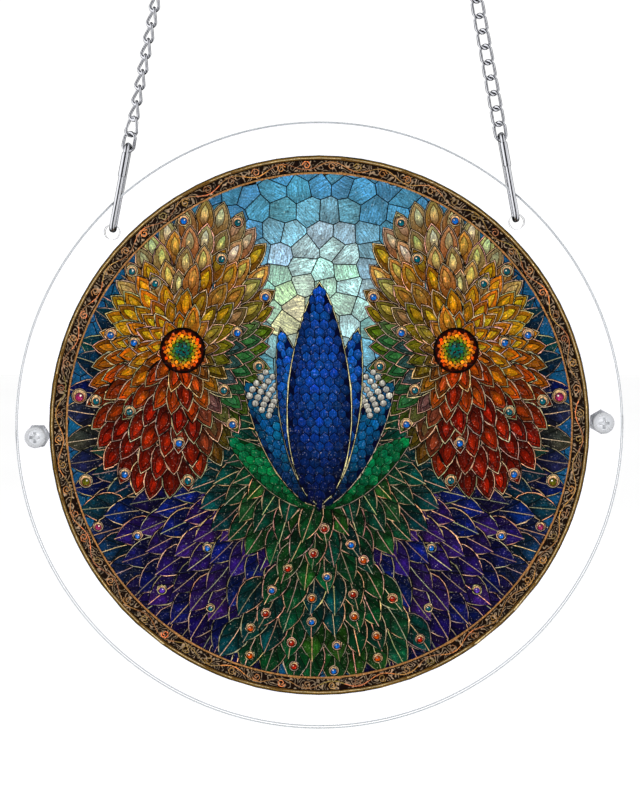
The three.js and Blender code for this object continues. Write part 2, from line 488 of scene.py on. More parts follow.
def back_material():
    """The back of the print: plain leaded cells in the broad colours of the front."""
    material, tree, surface = new_material("Printed back")
    middle = plates_middle()
    radius = puzzle_radius()
    place = object_place(tree)
    cell_of = {}
    for feature in ("F1", "DISTANCE_TO_EDGE"):
        cells = add_node(tree, "ShaderNodeTexVoronoi", (-1300, 0 if feature == "F1" else -300))
        cells.voronoi_dimensions = "3D"
        cells.feature = feature
        fill(tree, cells, {"Vector": place, "Scale": 150.0})
        cell_of[feature] = cells.outputs
    apart = add_node(tree, "ShaderNodeSeparateXYZ", (-1100, 0))
    fill(tree, apart, {"Vector": cell_of["F1"]["Position"]})
    low, high = middle.z - radius, middle.z + radius
    height = map_range(tree, apart.outputs["Z"], low, high, 0.0, 1.0, (-900, 100))
    aside = math_of(tree, "ABSOLUTE", (-900, -150), apart.outputs["X"])
    sides = ramp_of(
        tree, height, (-600, 200), (0.0, PURPLE), (1.0, DEEP_SKY), (0.3, PURPLE), (0.38, BROWN),
        (0.5, ORANGE), (0.65, AMBER), (0.82, YELLOW), (0.92, SKY),
    )
    centre = ramp_of(
        tree, height, (-600, -100), (0.0, GREEN), (1.0, SKY), (0.32, EMERALD), (0.38, NAVY),
        (0.6, COBALT), (0.75, SKY), (0.85, PALE),
    )
    share = map_range(tree, aside, 0.2 * radius, 0.3 * radius, 0.0, 1.0, (-600, -350))
    broad = mix_colours(tree, centre, sides, (-300, 0), "MIX", share)
    away = cell_of["DISTANCE_TO_EDGE"]["Distance"]
    edge = map_range(tree, away, 0.03, 0.06, 0.0, 1.0, (-600, -600))
    leaded = mix_colours(tree, colours().lead[:], broad, (0, 0), "MIX", edge)
    fill(tree, surface, {"Base Color": leaded, "Roughness": 0.4})
    return material


def scrollwork_material():
    """The border's fine gilt scrollwork: curling light lines on a dark brown ground."""
    material, tree, surface = new_material("Printed scrollwork")
    place = object_place(tree)
    hills = noise(tree, place, 330.0, 1.0, (-900, 0), 0.35)
    levels = math_of(tree, "MULTIPLY", (-700, 0), hills, 8.0)
    wave = math_of(tree, "PINGPONG", (-500, 0), levels, 0.5)
    lines = map_range(tree, wave, 0.3, 0.42, 0.0, 1.0, (-300, 0))
    light = noise(tree, place, 700.0, 2.0, (-900, -300))
    patchy = map_range(tree, light, 0.35, 0.65, 0.25, 1.0, (-300, -300))
    amount = math_of(tree, "MULTIPLY", (-100, -100), lines, patchy)
    mixed = mix_colours(tree, linear("20110a"), linear("f4d9b4"), (100, 0), "MIX", amount)
    fill(tree, surface, {"Base Color": mixed, "Roughness": 0.4, "Specular IOR Level": 0.25})
    return material


def cloudy_material(name, colour, scale, darkest, roughness):
    """One plain colour, a little darker in places."""
    material, tree, surface = new_material(name)
    cloud = noise(tree, object_place(tree), scale, 2.0, (-500, 0))
    light = map_range(tree, cloud, 0.3, 0.7, darkest, 1.0, (-300, 0))
    mixed = mix_colours(tree, colour, grey_of(tree, light, (-150, 0)), (-50, 200))
    fill(tree, surface, {"Base Color": mixed, "Roughness": roughness})
    return material, tree, surface


def acrylic_material(name, colour, roughness, uneven):
    """Clear acrylic, with its roughness slightly uneven."""
    material, tree, surface = new_material(name)
    cloud = noise(tree, object_place(tree), 60.0, 3.0, (-500, 0))
    rough = map_range(tree, cloud, 0.3, 0.7, roughness, roughness + uneven, (-300, 0))
    fill(tree, surface, {"Base Color": (*colour, 1.0), "Roughness": rough})
    fill(tree, surface, {"Transmission Weight": 1.0, "IOR": 1.49})
    return material


def nylon_material():
    """Translucent nylon, softly moulded."""
    material, tree, surface = new_material("Clear nylon")
    cloud = noise(tree, object_place(tree), 700.0, 3.0, (-500, 0))
    rough = map_range(tree, cloud, 0.3, 0.7, 0.22, 0.4, (-300, 0))
    bump_of(tree, surface, cloud, 0.25, 0.00008)
    fill(tree, surface, {"Base Color": (*colours().nylon, 1.0), "Roughness": rough})
    fill(tree, surface, {"Transmission Weight": 0.55, "IOR": 1.5})
    return material


def polished_steel():
    """Polished steel with faint rubbing marks, made when it is first asked for."""
    name = "Polished steel"
    if name in bpy.data.materials:
        return bpy.data.materials[name]
    material, tree, surface = new_material(name)
    place = object_place(tree)
    fine = noise(tree, place, 2600.0, 2.0, (-600, 0))
    broad = noise(tree, place, 260.0, 2.0, (-600, -250))
    rough = map_range(tree, broad, 0.3, 0.7, 0.08, 0.2, (-350, -250))
    bump_of(tree, surface, fine, 0.15, 0.00003)
    values = {"Base Color": (*colours().steel, 1.0), "Roughness": rough, "Metallic": 1.0}
    fill(tree, surface, values)
    return material


# Colours of the picture

PALE = linear("d6e8e4")
GLOW = linear("f0eec4")
SKY = linear("7dbfd6")
DEEP_SKY = linear("2d7fa8")
CREAM = linear("fbeec6")
YELLOW = linear("f7bd2e")
AMBER = linear("f09a1c")
ORANGE = linear("e56f16")
RED = linear("c23a14")
BROWN = linear("6b2411")
LEAF = linear("5f9a30")
GREEN = linear("1f7c3c")
EMERALD = linear("12a06c")
TEAL = linear("128490")
AZURE = linear("2f8fe0")
COBALT = linear("1c4fb4")
NAVY = linear("101f5c")
PURPLE = linear("46289a")
VIOLET = linear("8a58d4")
OLIVE = linear("8d8c28")
ROSE = linear("c04a86")
PEARL = linear("f6f4ec")


def blend(first, second, share):
    """A colour between two colours."""
    share = min(max(share, 0.0), 1.0)
    return tuple(a + (b - a) * share for a, b in zip(first, second))


def along_colours(stops, share):
    """The colour at a share of the way along a row of colours."""
    place = min(max(share, 0.0), 1.0) * (len(stops) - 1)
    index = min(int(place), len(stops) - 2)
    return blend(stops[index], stops[index + 1], place - index)


def shade(colour, factor):
    """A colour made lighter or darker."""
    return tuple(min(part * factor, 1.0) for part in colour)


def step_between(low, high, value):
    """0 below low, 1 above high and a smooth step between."""
    share = min(max((value - low) / (high - low), 0.0), 1.0)
    return share * share * (3 - 2 * share)


# Flat shapes of the picture, in millimetres, X to the right and Z up, about the puzzle's middle


def point(x, z):
    """A place in the picture."""
    return Vector((x, z))


def polar(centre, radius, degrees):
    """A place round a centre, by its angle clockwise from straight up."""
    turn = math.radians(degrees)
    return centre + point(radius * math.sin(turn), radius * math.cos(turn))


def circle(centre, radius, steps):
    """A circle's points."""
    return [polar(centre, radius, -360 * i / steps) for i in range(steps)]


def area(outline):
    """Signed area of an outline, positive where it runs anticlockwise."""
    total = 0.0
    for before, after in zip(outline, outline[1:] + outline[:1]):
        total += before.x * after.y - after.x * before.y
    return total / 2


def cleaned(outline):
    """The outline without points that nearly coincide, running anticlockwise."""
    kept = []
    for place in outline:
        if not kept or (place - kept[-1]).length > 0.02:
            kept.append(place)
    while len(kept) > 1 and (kept[0] - kept[-1]).length <= 0.02:
        kept.pop()
    return kept if area(kept) > 0 else kept[::-1]


def inset(outline, depth):
    """The outline moved inwards, its corners mitred, or None where nothing is left."""
    moved = []
    count = len(outline)
    for i, here in enumerate(outline):
        inward = (here - outline[i - 1]).normalized()
        outward = (outline[(i + 1) % count] - here).normalized()
        first = point(-inward.y, inward.x)
        second = point(-outward.y, outward.x)
        spread = max(1 + first.dot(second), 0.35)
        moved.append(here + (first + second) * (depth / spread))
    return moved if area(moved) > 0.12 else None


def clipped(outline, place, normal):
    """The part of a convex outline behind a line."""
    kept = []
    for before, after in zip(outline, outline[1:] + outline[:1]):
        a = (before - place).dot(normal)
        b = (after - place).dot(normal)
        if a <= 0:
            kept.append(before)
        if (a < 0 < b) or (b < 0 < a):
            kept.append(before + (after - before) * (a / (a - b)))
    return kept


# The finishes are in the order of the puzzle's materials. A cut's floor shows little of its own
# colour, and a line may be off its curve by so many millimetres.

GLASS, LINE, GILT, CUT, EDGE, SCROLLS, BACK = range(7)
SEAM_PALENESS = 0.05
STRAIGHT_WITHIN = 0.08


class Cell:
    """One flat area: its outline, finish, colours from foot to tip, and where it is lightest."""

    def __init__(self, outline, finish, foot, tip, colours_used, crowns, lift, within):
        self.outline = outline
        self.finish = finish
        self.within = within
        self.foot = foot
        self.axis = (tip - foot).normalized() if (tip - foot).length > 0.01 else point(0, 1)
        self.reach = max((tip - foot).length, 0.01)
        self.colours = colours_used
        self.crowns = list(crowns)
        self.lift = lift
        self.shift = point(random.uniform(-400, 400), random.uniform(-400, 400))

    def along(self, place):
        """A place by its distance along and across the cell's own line."""
        away = place - self.foot
        return point(away.dot(self.axis), away.dot(point(-self.axis.y, self.axis.x)))

    def tone(self, place, crowned):
        """The cell's colour at a place, lighter at its crowns than at its outline."""
        share = self.along(place).x / self.reach
        colour = blend(self.colours[0], self.colours[1], share)
        return shade(colour, self.lift if crowned else 1 - (self.lift - 1) * 0.75)


class Picture:
    """The cells of the picture, from the lowest to the topmost."""

    def __init__(self, outer):
        self.cells = []
        self.within = outer

    def add(self, outline, finish, foot, tip, colours_used, crowns=(), lift=1.0):
        """Lays one cell over what is there, as far out as the picture reaches now."""
        outline = cleaned(outline)
        if len(outline) > 2:
            cell = Cell(outline, finish, foot, tip, colours_used, crowns, lift, self.within)
            self.cells.append(cell)

    def flat(self, outline, finish, colour):
        """Lays an area of one colour."""
        self.add(outline, finish, point(0, 0), point(0, 1), (colour, colour))

    def glass(self, outline, foot, tip, colours_used, lead=0.13, lift=1.3, crowns=None):
        """Lays a cell of glass, inset so that the lines round it show."""
        inner = inset(cleaned(outline), lead)
        if inner:
            middle = sum(inner, point(0, 0)) / len(inner)
            at = [middle] if crowns is None else crowns
            self.add(inner, GLASS, foot, tip, colours_used, at, lift)

    def mirrored(self, first):
        """Lays the cells from the first one on again, on the other side."""
        for cell in self.cells[first:]:
            outline, crowns, (foot, axis) = [
                [point(-p.x, p.y) for p in row]
                for row in (cell.outline, cell.crowns, (cell.foot, cell.axis))
            ]
            tip = foot + axis * cell.reach
            self.add(outline, cell.finish, foot, tip, cell.colours, crowns, cell.lift)


def varied(colour, amount=0.16):
    """A colour changed a little by chance."""
    light = random.uniform(1 - amount, 1 + amount)
    return tuple(
        min(part * light * random.uniform(1 - amount / 2, 1 + amount / 2), 1.0) for part in colour
    )


def leaf_points(foot, tip, width, bend=0.0, steps=7, blunt=0.75, fullness=0.85):
    """The left and right sides of a leaf from foot to tip, and its midline."""
    line = tip - foot
    across = point(-line.y, line.x).normalized()
    middle, left, right = [], [], []
    for step in range(steps + 1):
        t = step / steps
        centre = foot + line * t + across * bend * math.sin(math.pi * t)
        half = width / 2 * max(math.sin(math.pi * t**fullness), 0.0) ** blunt
        middle.append(centre)
        left.append(centre + across * half)
        right.append(centre - across * half)
    return middle, left, right


def rimmed(picture, outline, rim=0.2):
    """A dark edge with a light line inside it, and the dark ground for what goes within."""
    c = colours()
    picture.flat(outline, LINE, c.lead[:])
    light = inset(cleaned(outline), 0.24)
    ground = inset(cleaned(outline), 0.24 + rim)
    if light:
        picture.flat(light, GILT, varied(c.gilt[:], 0.25))
    if ground:
        picture.flat(ground, LINE, c.lead[:])


def petal(picture, foot, tip, width, foot_colour, tip_colour, bend=0.0):
    """A petal of glass with a smaller, brighter flame in it."""
    _, left, right = leaf_points(foot, tip, width, bend, 6)
    outline = left + right[::-1]
    rimmed(picture, outline)
    tones = (varied(foot_colour, 0.35), varied(shade(tip_colour, 0.8), 0.35))
    line = tip - foot
    crowns = [foot + line * share for share in (0.6, 0.8)]
    picture.glass(outline, foot, tip, tones, 0.7, 1.2, crowns)
    inner_foot = foot + line * 0.3
    inner_tip = foot + line * 0.84
    _, left, right = leaf_points(inner_foot, inner_tip, width * 0.44, bend * 0.6, 4)
    flame = left + right[::-1]
    picture.flat(flame, LINE, blend(foot_colour, colours().lead[:], 0.6))
    bright = (varied(blend(foot_colour, tip_colour, 0.3), 0.3), varied(shade(tip_colour, 1.4), 0.3))
    picture.glass(flame, inner_foot, inner_tip, bright, 0.26, 1.3)


def leaf(picture, foot, tip, width, foot_colour, tip_colour, bend=0.0, rows=3):
    """A leaf: a dark edge with a light line in it, and chevrons of glass along a midrib."""
    steps = rows * 2
    middle, left, right = leaf_points(foot, tip, width, bend, steps)
    rimmed(picture, left + right[::-1])
    shrink = 1 - 1.3 / width
    for side in (left, right):
        side = [m + (p - m) * shrink for m, p in zip(middle, side)]
        for row in range(rows):
            low, high = 2 * row, 2 * row + 2
            ahead = 0 if row == 0 else min(low + 2, steps)
            beyond = min(high + 2, steps)
            corners = [middle[low], *side[ahead : beyond + 1], middle[high]]
            share = (row + 0.5) / rows
            near = varied(blend(foot_colour, tip_colour, share - 0.4), 0.35)
            far = varied(blend(foot_colour, tip_colour, share + 0.3), 0.35)
            picture.glass(corners, middle[low], side[beyond], (near, far), 0.16, 1.45)
    ribbon(picture, middle[1:-1:2] + [middle[-1]], 0.2, GILT, varied(colours().gilt[:], 0.3))


def jewel(picture, centre, radius, stone):
    """A round stone in a collar: thin dark and light rims, and a small light on the stone."""
    lead = colours().lead[:]
    picture.flat(circle(centre, radius, 12), LINE, lead)
    picture.flat(circle(centre, radius - 0.26, 12), GILT, varied(colours().gilt[:], 0.2))
    picture.flat(circle(centre, radius - 0.46, 12), LINE, lead)
    low, high = centre - point(0, radius), centre + point(0, radius)
    collar = (shade(ORANGE, 0.5), CREAM)
    picture.add(circle(centre, radius - 0.66, 10), GLASS, low, high, collar, [centre], 1.0)
    middle = centre + point(0, -0.12) * radius
    picture.flat(circle(middle, radius * 0.55, 10), LINE, lead)
    tones = (shade(stone, 1.6), shade(stone, 0.35))
    picture.add(circle(middle, radius * 0.47, 9), GLASS, low, high, tones, [middle], 1.2)
    picture.flat(circle(middle + point(-0.14, 0.16) * radius, radius * 0.13, 5), GILT, PEARL)


def pebbles(picture, pitch, colour_at, radius):
    """A mosaic of many-sided stones over a round field."""
    seeds = []
    rows = int(radius / pitch * 1.3) + 2
    for row in range(-rows, rows + 1):
        for column in range(-rows, rows + 1):
            x = (column + 0.5 * (row % 2)) * pitch + random.uniform(-0.3, 0.3) * pitch
            z = row * pitch * 0.87 + random.uniform(-0.3, 0.3) * pitch
            seeds.append(point(x, z))
    for seed in seeds:
        if seed.length > radius + pitch:
            continue
        stone = [seed + point(x, z) * 2 * pitch for x, z in ((-1, -1), (1, -1), (1, 1), (-1, 1))]
        for other in seeds:
            gap = other - seed
            if 0 < gap.length < 3 * pitch:
                stone = clipped(stone, seed + gap / 2, gap)
        if len(stone) < 3:
            continue
        tone = varied(colour_at(seed), 0.1)
        lean = point(random.uniform(-1, 1), random.uniform(-1, 1)) * pitch / 2
        tones = (shade(tone, 0.88), shade(tone, 1.12))
        picture.glass(stone, seed - lean, seed + lean, tones, 0.17, 1.1)


def sky_colour(place):
    """Pale in the middle of the sky, and bluer and darker outwards and downwards."""
    away = math.hypot(place.x * 1.15, place.y - 44)
    pale = blend(GLOW, PALE, (place - point(-12, 30)).length / 22)
    outer = blend(pale, SKY, step_between(12, 36, away))
    return blend(outer, DEEP_SKY, step_between(34, 74, away))


def bloom_colours(layer, place):
    """Foot and tip colours of a bloom's petals: cream above, gold, then red, and green within."""
    heat = step_between(-74, 36, -place.y)
    heat = min(heat * 0.85 + random.uniform(-0.06, 0.1), 1.0)
    tip = along_colours([CREAM, YELLOW, YELLOW, AMBER, ORANGE, RED, RED, BROWN], heat)
    foot = along_colours([AMBER, ORANGE, BROWN, BROWN, shade(BROWN, 0.5)], heat)
    towards = step_between(44, 18, place.x) * step_between(60, 20, place.y)
    tip = blend(tip, (LEAF, EMERALD, TEAL)[layer % 3], min(towards * 1.1, 0.9))
    foot = blend(foot, shade(GREEN, 0.5), towards)
    return shade(foot, 0.45), tip


def bloom_reach(degrees):
    """How far a bloom's petals reach, by their angle: further up towards the middle."""
    turn = math.radians(degrees + 16)
    return 29 * 51 / math.hypot(29 * math.cos(turn), 51 * math.sin(turn))


def purple_colours(_layer, place):
    """Foot and tip colours of the purple petals."""
    tip = along_colours([VIOLET, PURPLE, COBALT, PURPLE, VIOLET, NAVY], random.random())
    return shade(NAVY, 0.35), blend(tip, TEAL, step_between(58, 84, place.x) * random.random())


def lower_colours(_layer, place):
    """Foot and tip colours of the green leaves at the bottom."""
    tip = along_colours([EMERALD, LEAF, EMERALD, GREEN, TEAL, GREEN], random.random())
    return shade(GREEN, 0.12), blend(tip, TEAL, step_between(16, 46, abs(place.x)))


def side_colours(layer, place):
    """Foot and tip colours of the leaves at the far sides."""
    height = step_between(-50, 60, place.y)
    tip = along_colours([PURPLE, COBALT, OLIVE, COBALT, TEAL, DEEP_SKY], height)
    return shade(NAVY, 0.4), shade(blend(tip, EMERALD, (layer % 2) * 0.5), 0.8)


def fan(picture, centre, span, reach, layers, gap, spacing, tones, shape, fill=1.22):
    """Layers of petals or leaves round a centre, the outermost lowest. Gives back their tips."""
    start, stop = span
    tips = []
    for layer in range(layers):
        degrees = start + (layer % 2) * 0.5 * math.degrees(spacing / reach(start))
        while degrees < stop:
            share = 1 - layer * gap / reach(start + (stop - start) / 2)
            tip_radius = reach(degrees) * share + random.uniform(-0.8, 0.8)
            foot = polar(centre, max(tip_radius - gap * 2.1, 0.5), degrees)
            tip = polar(centre, tip_radius, degrees + random.uniform(-1.5, 1.5))
            foot_colour, tip_colour = tones(layer, tip)
            width = spacing * fill * (0.8 + 0.2 * share)
            bend = random.uniform(-0.7, 0.7)
            shape(picture, foot, tip, width, foot_colour, tip_colour, bend)
            tips.append((layer, foot, tip))
            degrees += math.degrees(spacing / max(tip_radius, spacing))
    return tips


GOLDEN_TURN = 137.5


def bloom_heart(picture, centre, radius):
    """The seeds in the middle of a bloom, wound in a spiral."""
    picture.flat(circle(centre, radius + 0.6, 28), LINE, colours().lead[:])
    picture.flat(circle(centre, radius, 28), LINE, shade(BROWN, 0.6))
    seeds = 90
    for index in range(seeds):
        share = math.sqrt((index + 0.5) / seeds)
        place = polar(centre, (radius - 0.8) * share, index * GOLDEN_TURN)
        tone = along_colours([EMERALD, TEAL, LEAF, YELLOW, ORANGE], share)
        picture.flat(circle(place, 0.62, 7), GILT, varied(tone, 0.3))


def scaled_petal(picture, foot, tip, width, light, dark, pitch=3.1):
    """A long petal filled with rows of small overlapping scales, the lower ones in front."""
    steps = 16
    _, left, right = leaf_points(foot, tip, width, 0.0, steps, 0.7, 0.8)
    rimmed(picture, left + right[::-1])
    ground = inset(cleaned(left + right[::-1]), 0.7)
    if ground:
        picture.flat(ground, LINE, shade(dark, 0.7))
    line = tip - foot
    run = line.normalized()
    across = point(-run.y, run.x)
    rows = int(line.length / 2.7)
    for row in range(rows):
        share = 1 - (row + 1.5) / (rows + 1)
        at = min(int(share * steps), steps - 1)
        near, far = (left[at] - right[at]).length, (left[at + 1] - right[at + 1]).length
        half = (near + (far - near) * (share * steps - at)) / 2 - 0.6
        centre = foot + line * share
        count = max(round(2 * half / pitch), 1)
        width_here = 2 * half / count
        for index in range(count):
            aside = (index + 0.5) * width_here - half
            if row % 2:
                aside += width_here / 2
            size = width_here * 1.2
            if aside + width_here / 2 > half:
                aside -= width_here / 4
                size = width_here * 0.7
            low = centre + across * aside * 0.97 - run * 2.7
            high = centre + across * aside + run * 2.3
            lean = aside / max(half, 1)
            tone = blend(along_colours([dark, light, light], share), dark, lean * lean * 0.8)
            _, scale_left, scale_right = leaf_points(low, high, size, 0, 4, 0.6, 1.15)
            scale = scale_left + scale_right[::-1]
            picture.flat(scale, LINE, shade(dark, 0.18))
            tones = (varied(shade(tone, 0.4), 0.25), varied(shade(tone, 1.3), 0.25))
            picture.glass(scale, low, high, tones, 0.2, 1.2)


def blue_flower(picture):
    """The blue flower in the middle: side petals behind, one tall petal in front."""
    root = point(0, -27)
    for side in (-1, 1):
        scaled_petal(picture, root, point(side * 31, -3), 12.0, EMERALD, shade(GREEN, 0.7))
    for side in (-1, 1):
        scaled_petal(picture, root, point(side * 25, 16), 13.5, blend(AZURE, TEAL, 0.6), NAVY)
    for side in (-1, 1):
        pearls(picture, side)
    for side in (-1, 1):
        scaled_petal(picture, root, point(side * 13, 33), 14.0, AZURE, blend(COBALT, NAVY, 0.6))
    scaled_petal(picture, root, point(0, 48), 22.0, blend(COBALT, AZURE, 0.5), NAVY)


def pearls(picture, side):
    """A spray of small white buds beside the blue flower."""
    for row in range(4):
        for step in range(8 - row):
            place = polar(point(0, 0), 17 + row * 2.7, side * (40 + step * 5.4 + row * 1.6))
            size = 1.35 - 0.04 * abs(step - 4)
            picture.flat(circle(place, size, 8), LINE, colours().lead[:])
            low, high = place - point(0, size), place + point(0, size)
            tones = (shade(PEARL, 0.35), PEARL)
            picture.add(circle(place, size - 0.2, 7), GLASS, low, high, tones, [place], 1.1)


def ribbon(picture, path, width, finish, colour):
    """Lays a thin strip along an open path, one short area after another."""
    sides = []
    for i, here in enumerate(path):
        before = path[max(i - 1, 0)]
        after = path[min(i + 1, len(path) - 1)]
        run = (after - before).normalized()
        across = point(-run.y, run.x) * (width / 2)
        sides.append((here + across, here - across))
    for (left, right), (next_left, next_right) in zip(sides, sides[1:]):
        picture.flat([right, next_right, next_left, left], finish, colour)


def border(picture, outer, width):
    """The plain rings of the gilt border, each laid as a disc over the one before."""
    rings = (
        (0.0, "0d0b09", LINE),
        (0.3, "b3934f", LINE),
        (0.75, "fff4d2", LINE),
        (0.95, "a07c44", LINE),
        (1.35, "0d0806", LINE),
        (1.7, "2c1b10", SCROLLS),
        (width - 1.15, "0d0b09", LINE),
        (width - 0.85, "cfa873", GILT),
        (width - 0.25, "120d0a", LINE),
    )
    for depth, code, finish in rings:
        picture.flat(circle(point(0, 0), outer - depth, 160), finish, linear(code))


def scrolls(picture, outer, width):
    """A gilt vine that winds along the border's dark band, with a curl in each of its bends."""
    centre = point(0, 0)
    inner_edge = outer - width + 1.15
    outer_edge = outer - 1.5
    mid = (inner_edge + outer_edge) / 2
    half = (outer_edge - inner_edge) / 2 - 0.1
    bends, vine_steps, curl_steps = 64, 5, 8
    thickness, curl_radius = 0.26, 1.5
    gold = linear("d9b37c")
    sweep = 360 / bends
    for index in range(bends):
        start = 360 * index / bends
        way = 1 if index % 2 else -1
        vine, curl = [], []
        for step in range(vine_steps + 1):
            t = step / vine_steps
            out = mid - way * half * 0.75 * math.sin(math.pi * t)
            vine.append(polar(centre, out, start + sweep * t))
        ribbon(picture, vine, thickness, GILT, varied(gold, 0.3))
        hub = polar(centre, mid + way * half * 0.1, start + sweep * 0.5)
        for step in range(curl_steps + 1):
            t = step / curl_steps
            curl.append(polar(hub, curl_radius * (1 - t * 0.7), start + way * (450 * t - 80)))
        ribbon(picture, curl, thickness, GILT, varied(gold, 0.3))


def tab_path(start, end, way):
    """One side of a jigsaw piece, with its rounded tab."""
    run = end - start
    across = point(-run.y, run.x) * way
    shape = [(0, 0), (0.2, -0.02), (0.37, 0.0), (0.415, 0.065)]
    steps, knob_radius, knob_middle = 5, 0.165, 0.225
    for step in range(steps + 1):
        turn = math.radians(232 - 284 * step / steps)
        aside, out = knob_radius * math.cos(turn), knob_radius * math.sin(turn)
        shape.append((0.5 + aside, knob_middle + out))
    shape += [(1 - x, y) for x, y in shape[3::-1]]
    return [start + run * x + across * y for x, y in shape]


def seams(picture, radius, pieces, width):
    """The cuts between the jigsaw pieces."""
    pitch = 2 * radius / pieces
    for line in range(1, pieces):
        for cell in range(pieces):
            fixed = line * pitch - radius
            near = cell * pitch - radius
            level = (point(near, fixed), point(near + pitch, fixed))
            upright = (point(fixed, near), point(fixed, near + pitch))
            for start, end in (level, upright):
                way = random.choice((-1, 1))
                if ((start + end) / 2).length < radius:
                    ribbon(picture, tab_path(start, end, way), width, CUT, colours().cut[:])


def draw_picture(outer):
    """All the cells of the picture."""
    random.seed(17)
    s = sizes()
    picture = Picture(outer)
    border_width = s.border_width / MM
    field = outer - border_width
    border(picture, outer, border_width)
    picture.within = field
    pebbles(picture, 7.4, sky_colour, field)
    first = len(picture.cells)
    fan(picture, point(10, 0), (34, 150), lambda d: 75.0, 4, 8.5, 8.5, side_colours, leaf)
    fan(picture, point(6, -16), (100, 172), lambda d: 74.0, 7, 8.0, 8.2, purple_colours, leaf, 1.3)
    heart = point(45, 25)
    low_leaves = (70, 182)
    fan(picture, point(4, -6), low_leaves, lambda d: 42.0, 4, 7.5, 7.5, lower_colours, leaf)
    tips = fan(picture, heart, (0, 360), bloom_reach, 6, 6.6, 6.0, bloom_colours, petal)
    for number, (layer, foot, tip) in enumerate(tips):
        if layer in (0, 2) and number % 4 == 0:
            jewel(picture, tip + (foot - tip) * 0.3, 2.2, (AZURE, TEAL)[number % 8 // 4])
    bloom_heart(picture, heart, 7.0)
    for x, z, size, stone in (
        (79, 10, 2.8, ROSE),
        (77, -18, 2.5, OLIVE),
        (73, -33, 2.0, ROSE),
        (60, -36, 1.9, AZURE),
        (52, -54, 1.9, VIOLET),
        (37, -40, 1.9, AZURE),
        (36, -60, 1.7, TEAL),
    ):
        jewel(picture, point(x, z), size, stone)
    picture.mirrored(first)
    tips = fan(picture, point(0, -22), (146, 214), lambda d: 64.0, 7, 7.8, 8.0, lower_colours, leaf)
    for number, (layer, foot, tip) in enumerate(tips):
        if number % 2 == layer % 2:
            jewel(picture, tip + (foot - tip) * 0.34, 1.9, (RED, AZURE, ORANGE)[number % 3])
    blue_flower(picture)
    picture.within = outer
    scrolls(picture, outer, border_width)
    seams(picture, outer, s.pieces_across, s.seam_width / MM)
    return picture


def inside(outline, places):
    """Which of the places, an array of X and Z, are inside an outline."""
    x, z = places[:, 0], places[:, 1]
    found = np.zeros(len(places), bool)
    for a, b in zip(outline, outline[1:] + outline[:1]):
        if a.y != b.y:
            reach = (b.x - a.x) * (z - a.y) / (b.y - a.y) + a.x
            found ^= ((a.y > z) != (b.y > z)) & (x < reach)
    return found


def back_picture(picture):
    """The back: the border's rings and the same cuts, round one plain field."""
    radius = puzzle_radius() / MM
    width = sizes().border_width / MM
    back = Picture(radius)
    border(back, radius, width)
    back.flat(circle(point(0, 0), radius - width, 160), BACK, (0.2, 0.2, 0.2))
    back.cells.extend(cell for cell in picture.cells if cell.finish == CUT)
    return back


def topmost(cells, points, faces):
    """For each triangle, the last cell laid over its middle, or -1."""
    middles = np.array([tuple(p) for p in points])[np.array(faces)].mean(axis=1)
    away = np.hypot(middles[:, 0], middles[:, 1])
    owners = np.full(len(faces), -1)
    bin_size = 3.0
    bins = {}
    for index, place in enumerate(np.floor(middles / bin_size).astype(int).tolist()):
        bins.setdefault(tuple(place), []).append(index)
    bins = {place: np.array(found) for place, found in bins.items()}
    for number in range(len(cells) - 1, -1, -1):
        outline = cells[number].outline
        low = [math.floor(min(p[axis] for p in outline) / bin_size) for axis in (0, 1)]
        high = [math.floor(max(p[axis] for p in outline) / bin_size) for axis in (0, 1)]
        near = [
            bins[(column, row)]
            for column in range(low[0], high[0] + 1)
            for row in range(low[1], high[1] + 1)
            if (column, row) in bins
        ]
        if near:
            near = np.concatenate(near)
            near = near[(owners[near] < 0) & (away[near] < cells[number].within)]
            owners[near[inside(outline, middles[near])]] = number
    return owners.tolist()


def straightened(chain):
    """A line of points without those that lie on a straight run."""
    kept = [chain[0]]
    for here, after in zip(chain[1:], chain[2:]):
        run = after - kept[-1]
        off = here - kept[-1]
        if abs(run.x * off.y - run.y * off.x) > STRAIGHT_WITHIN * run.length:
            kept.append(here)
    return [*kept, chain[-1]]


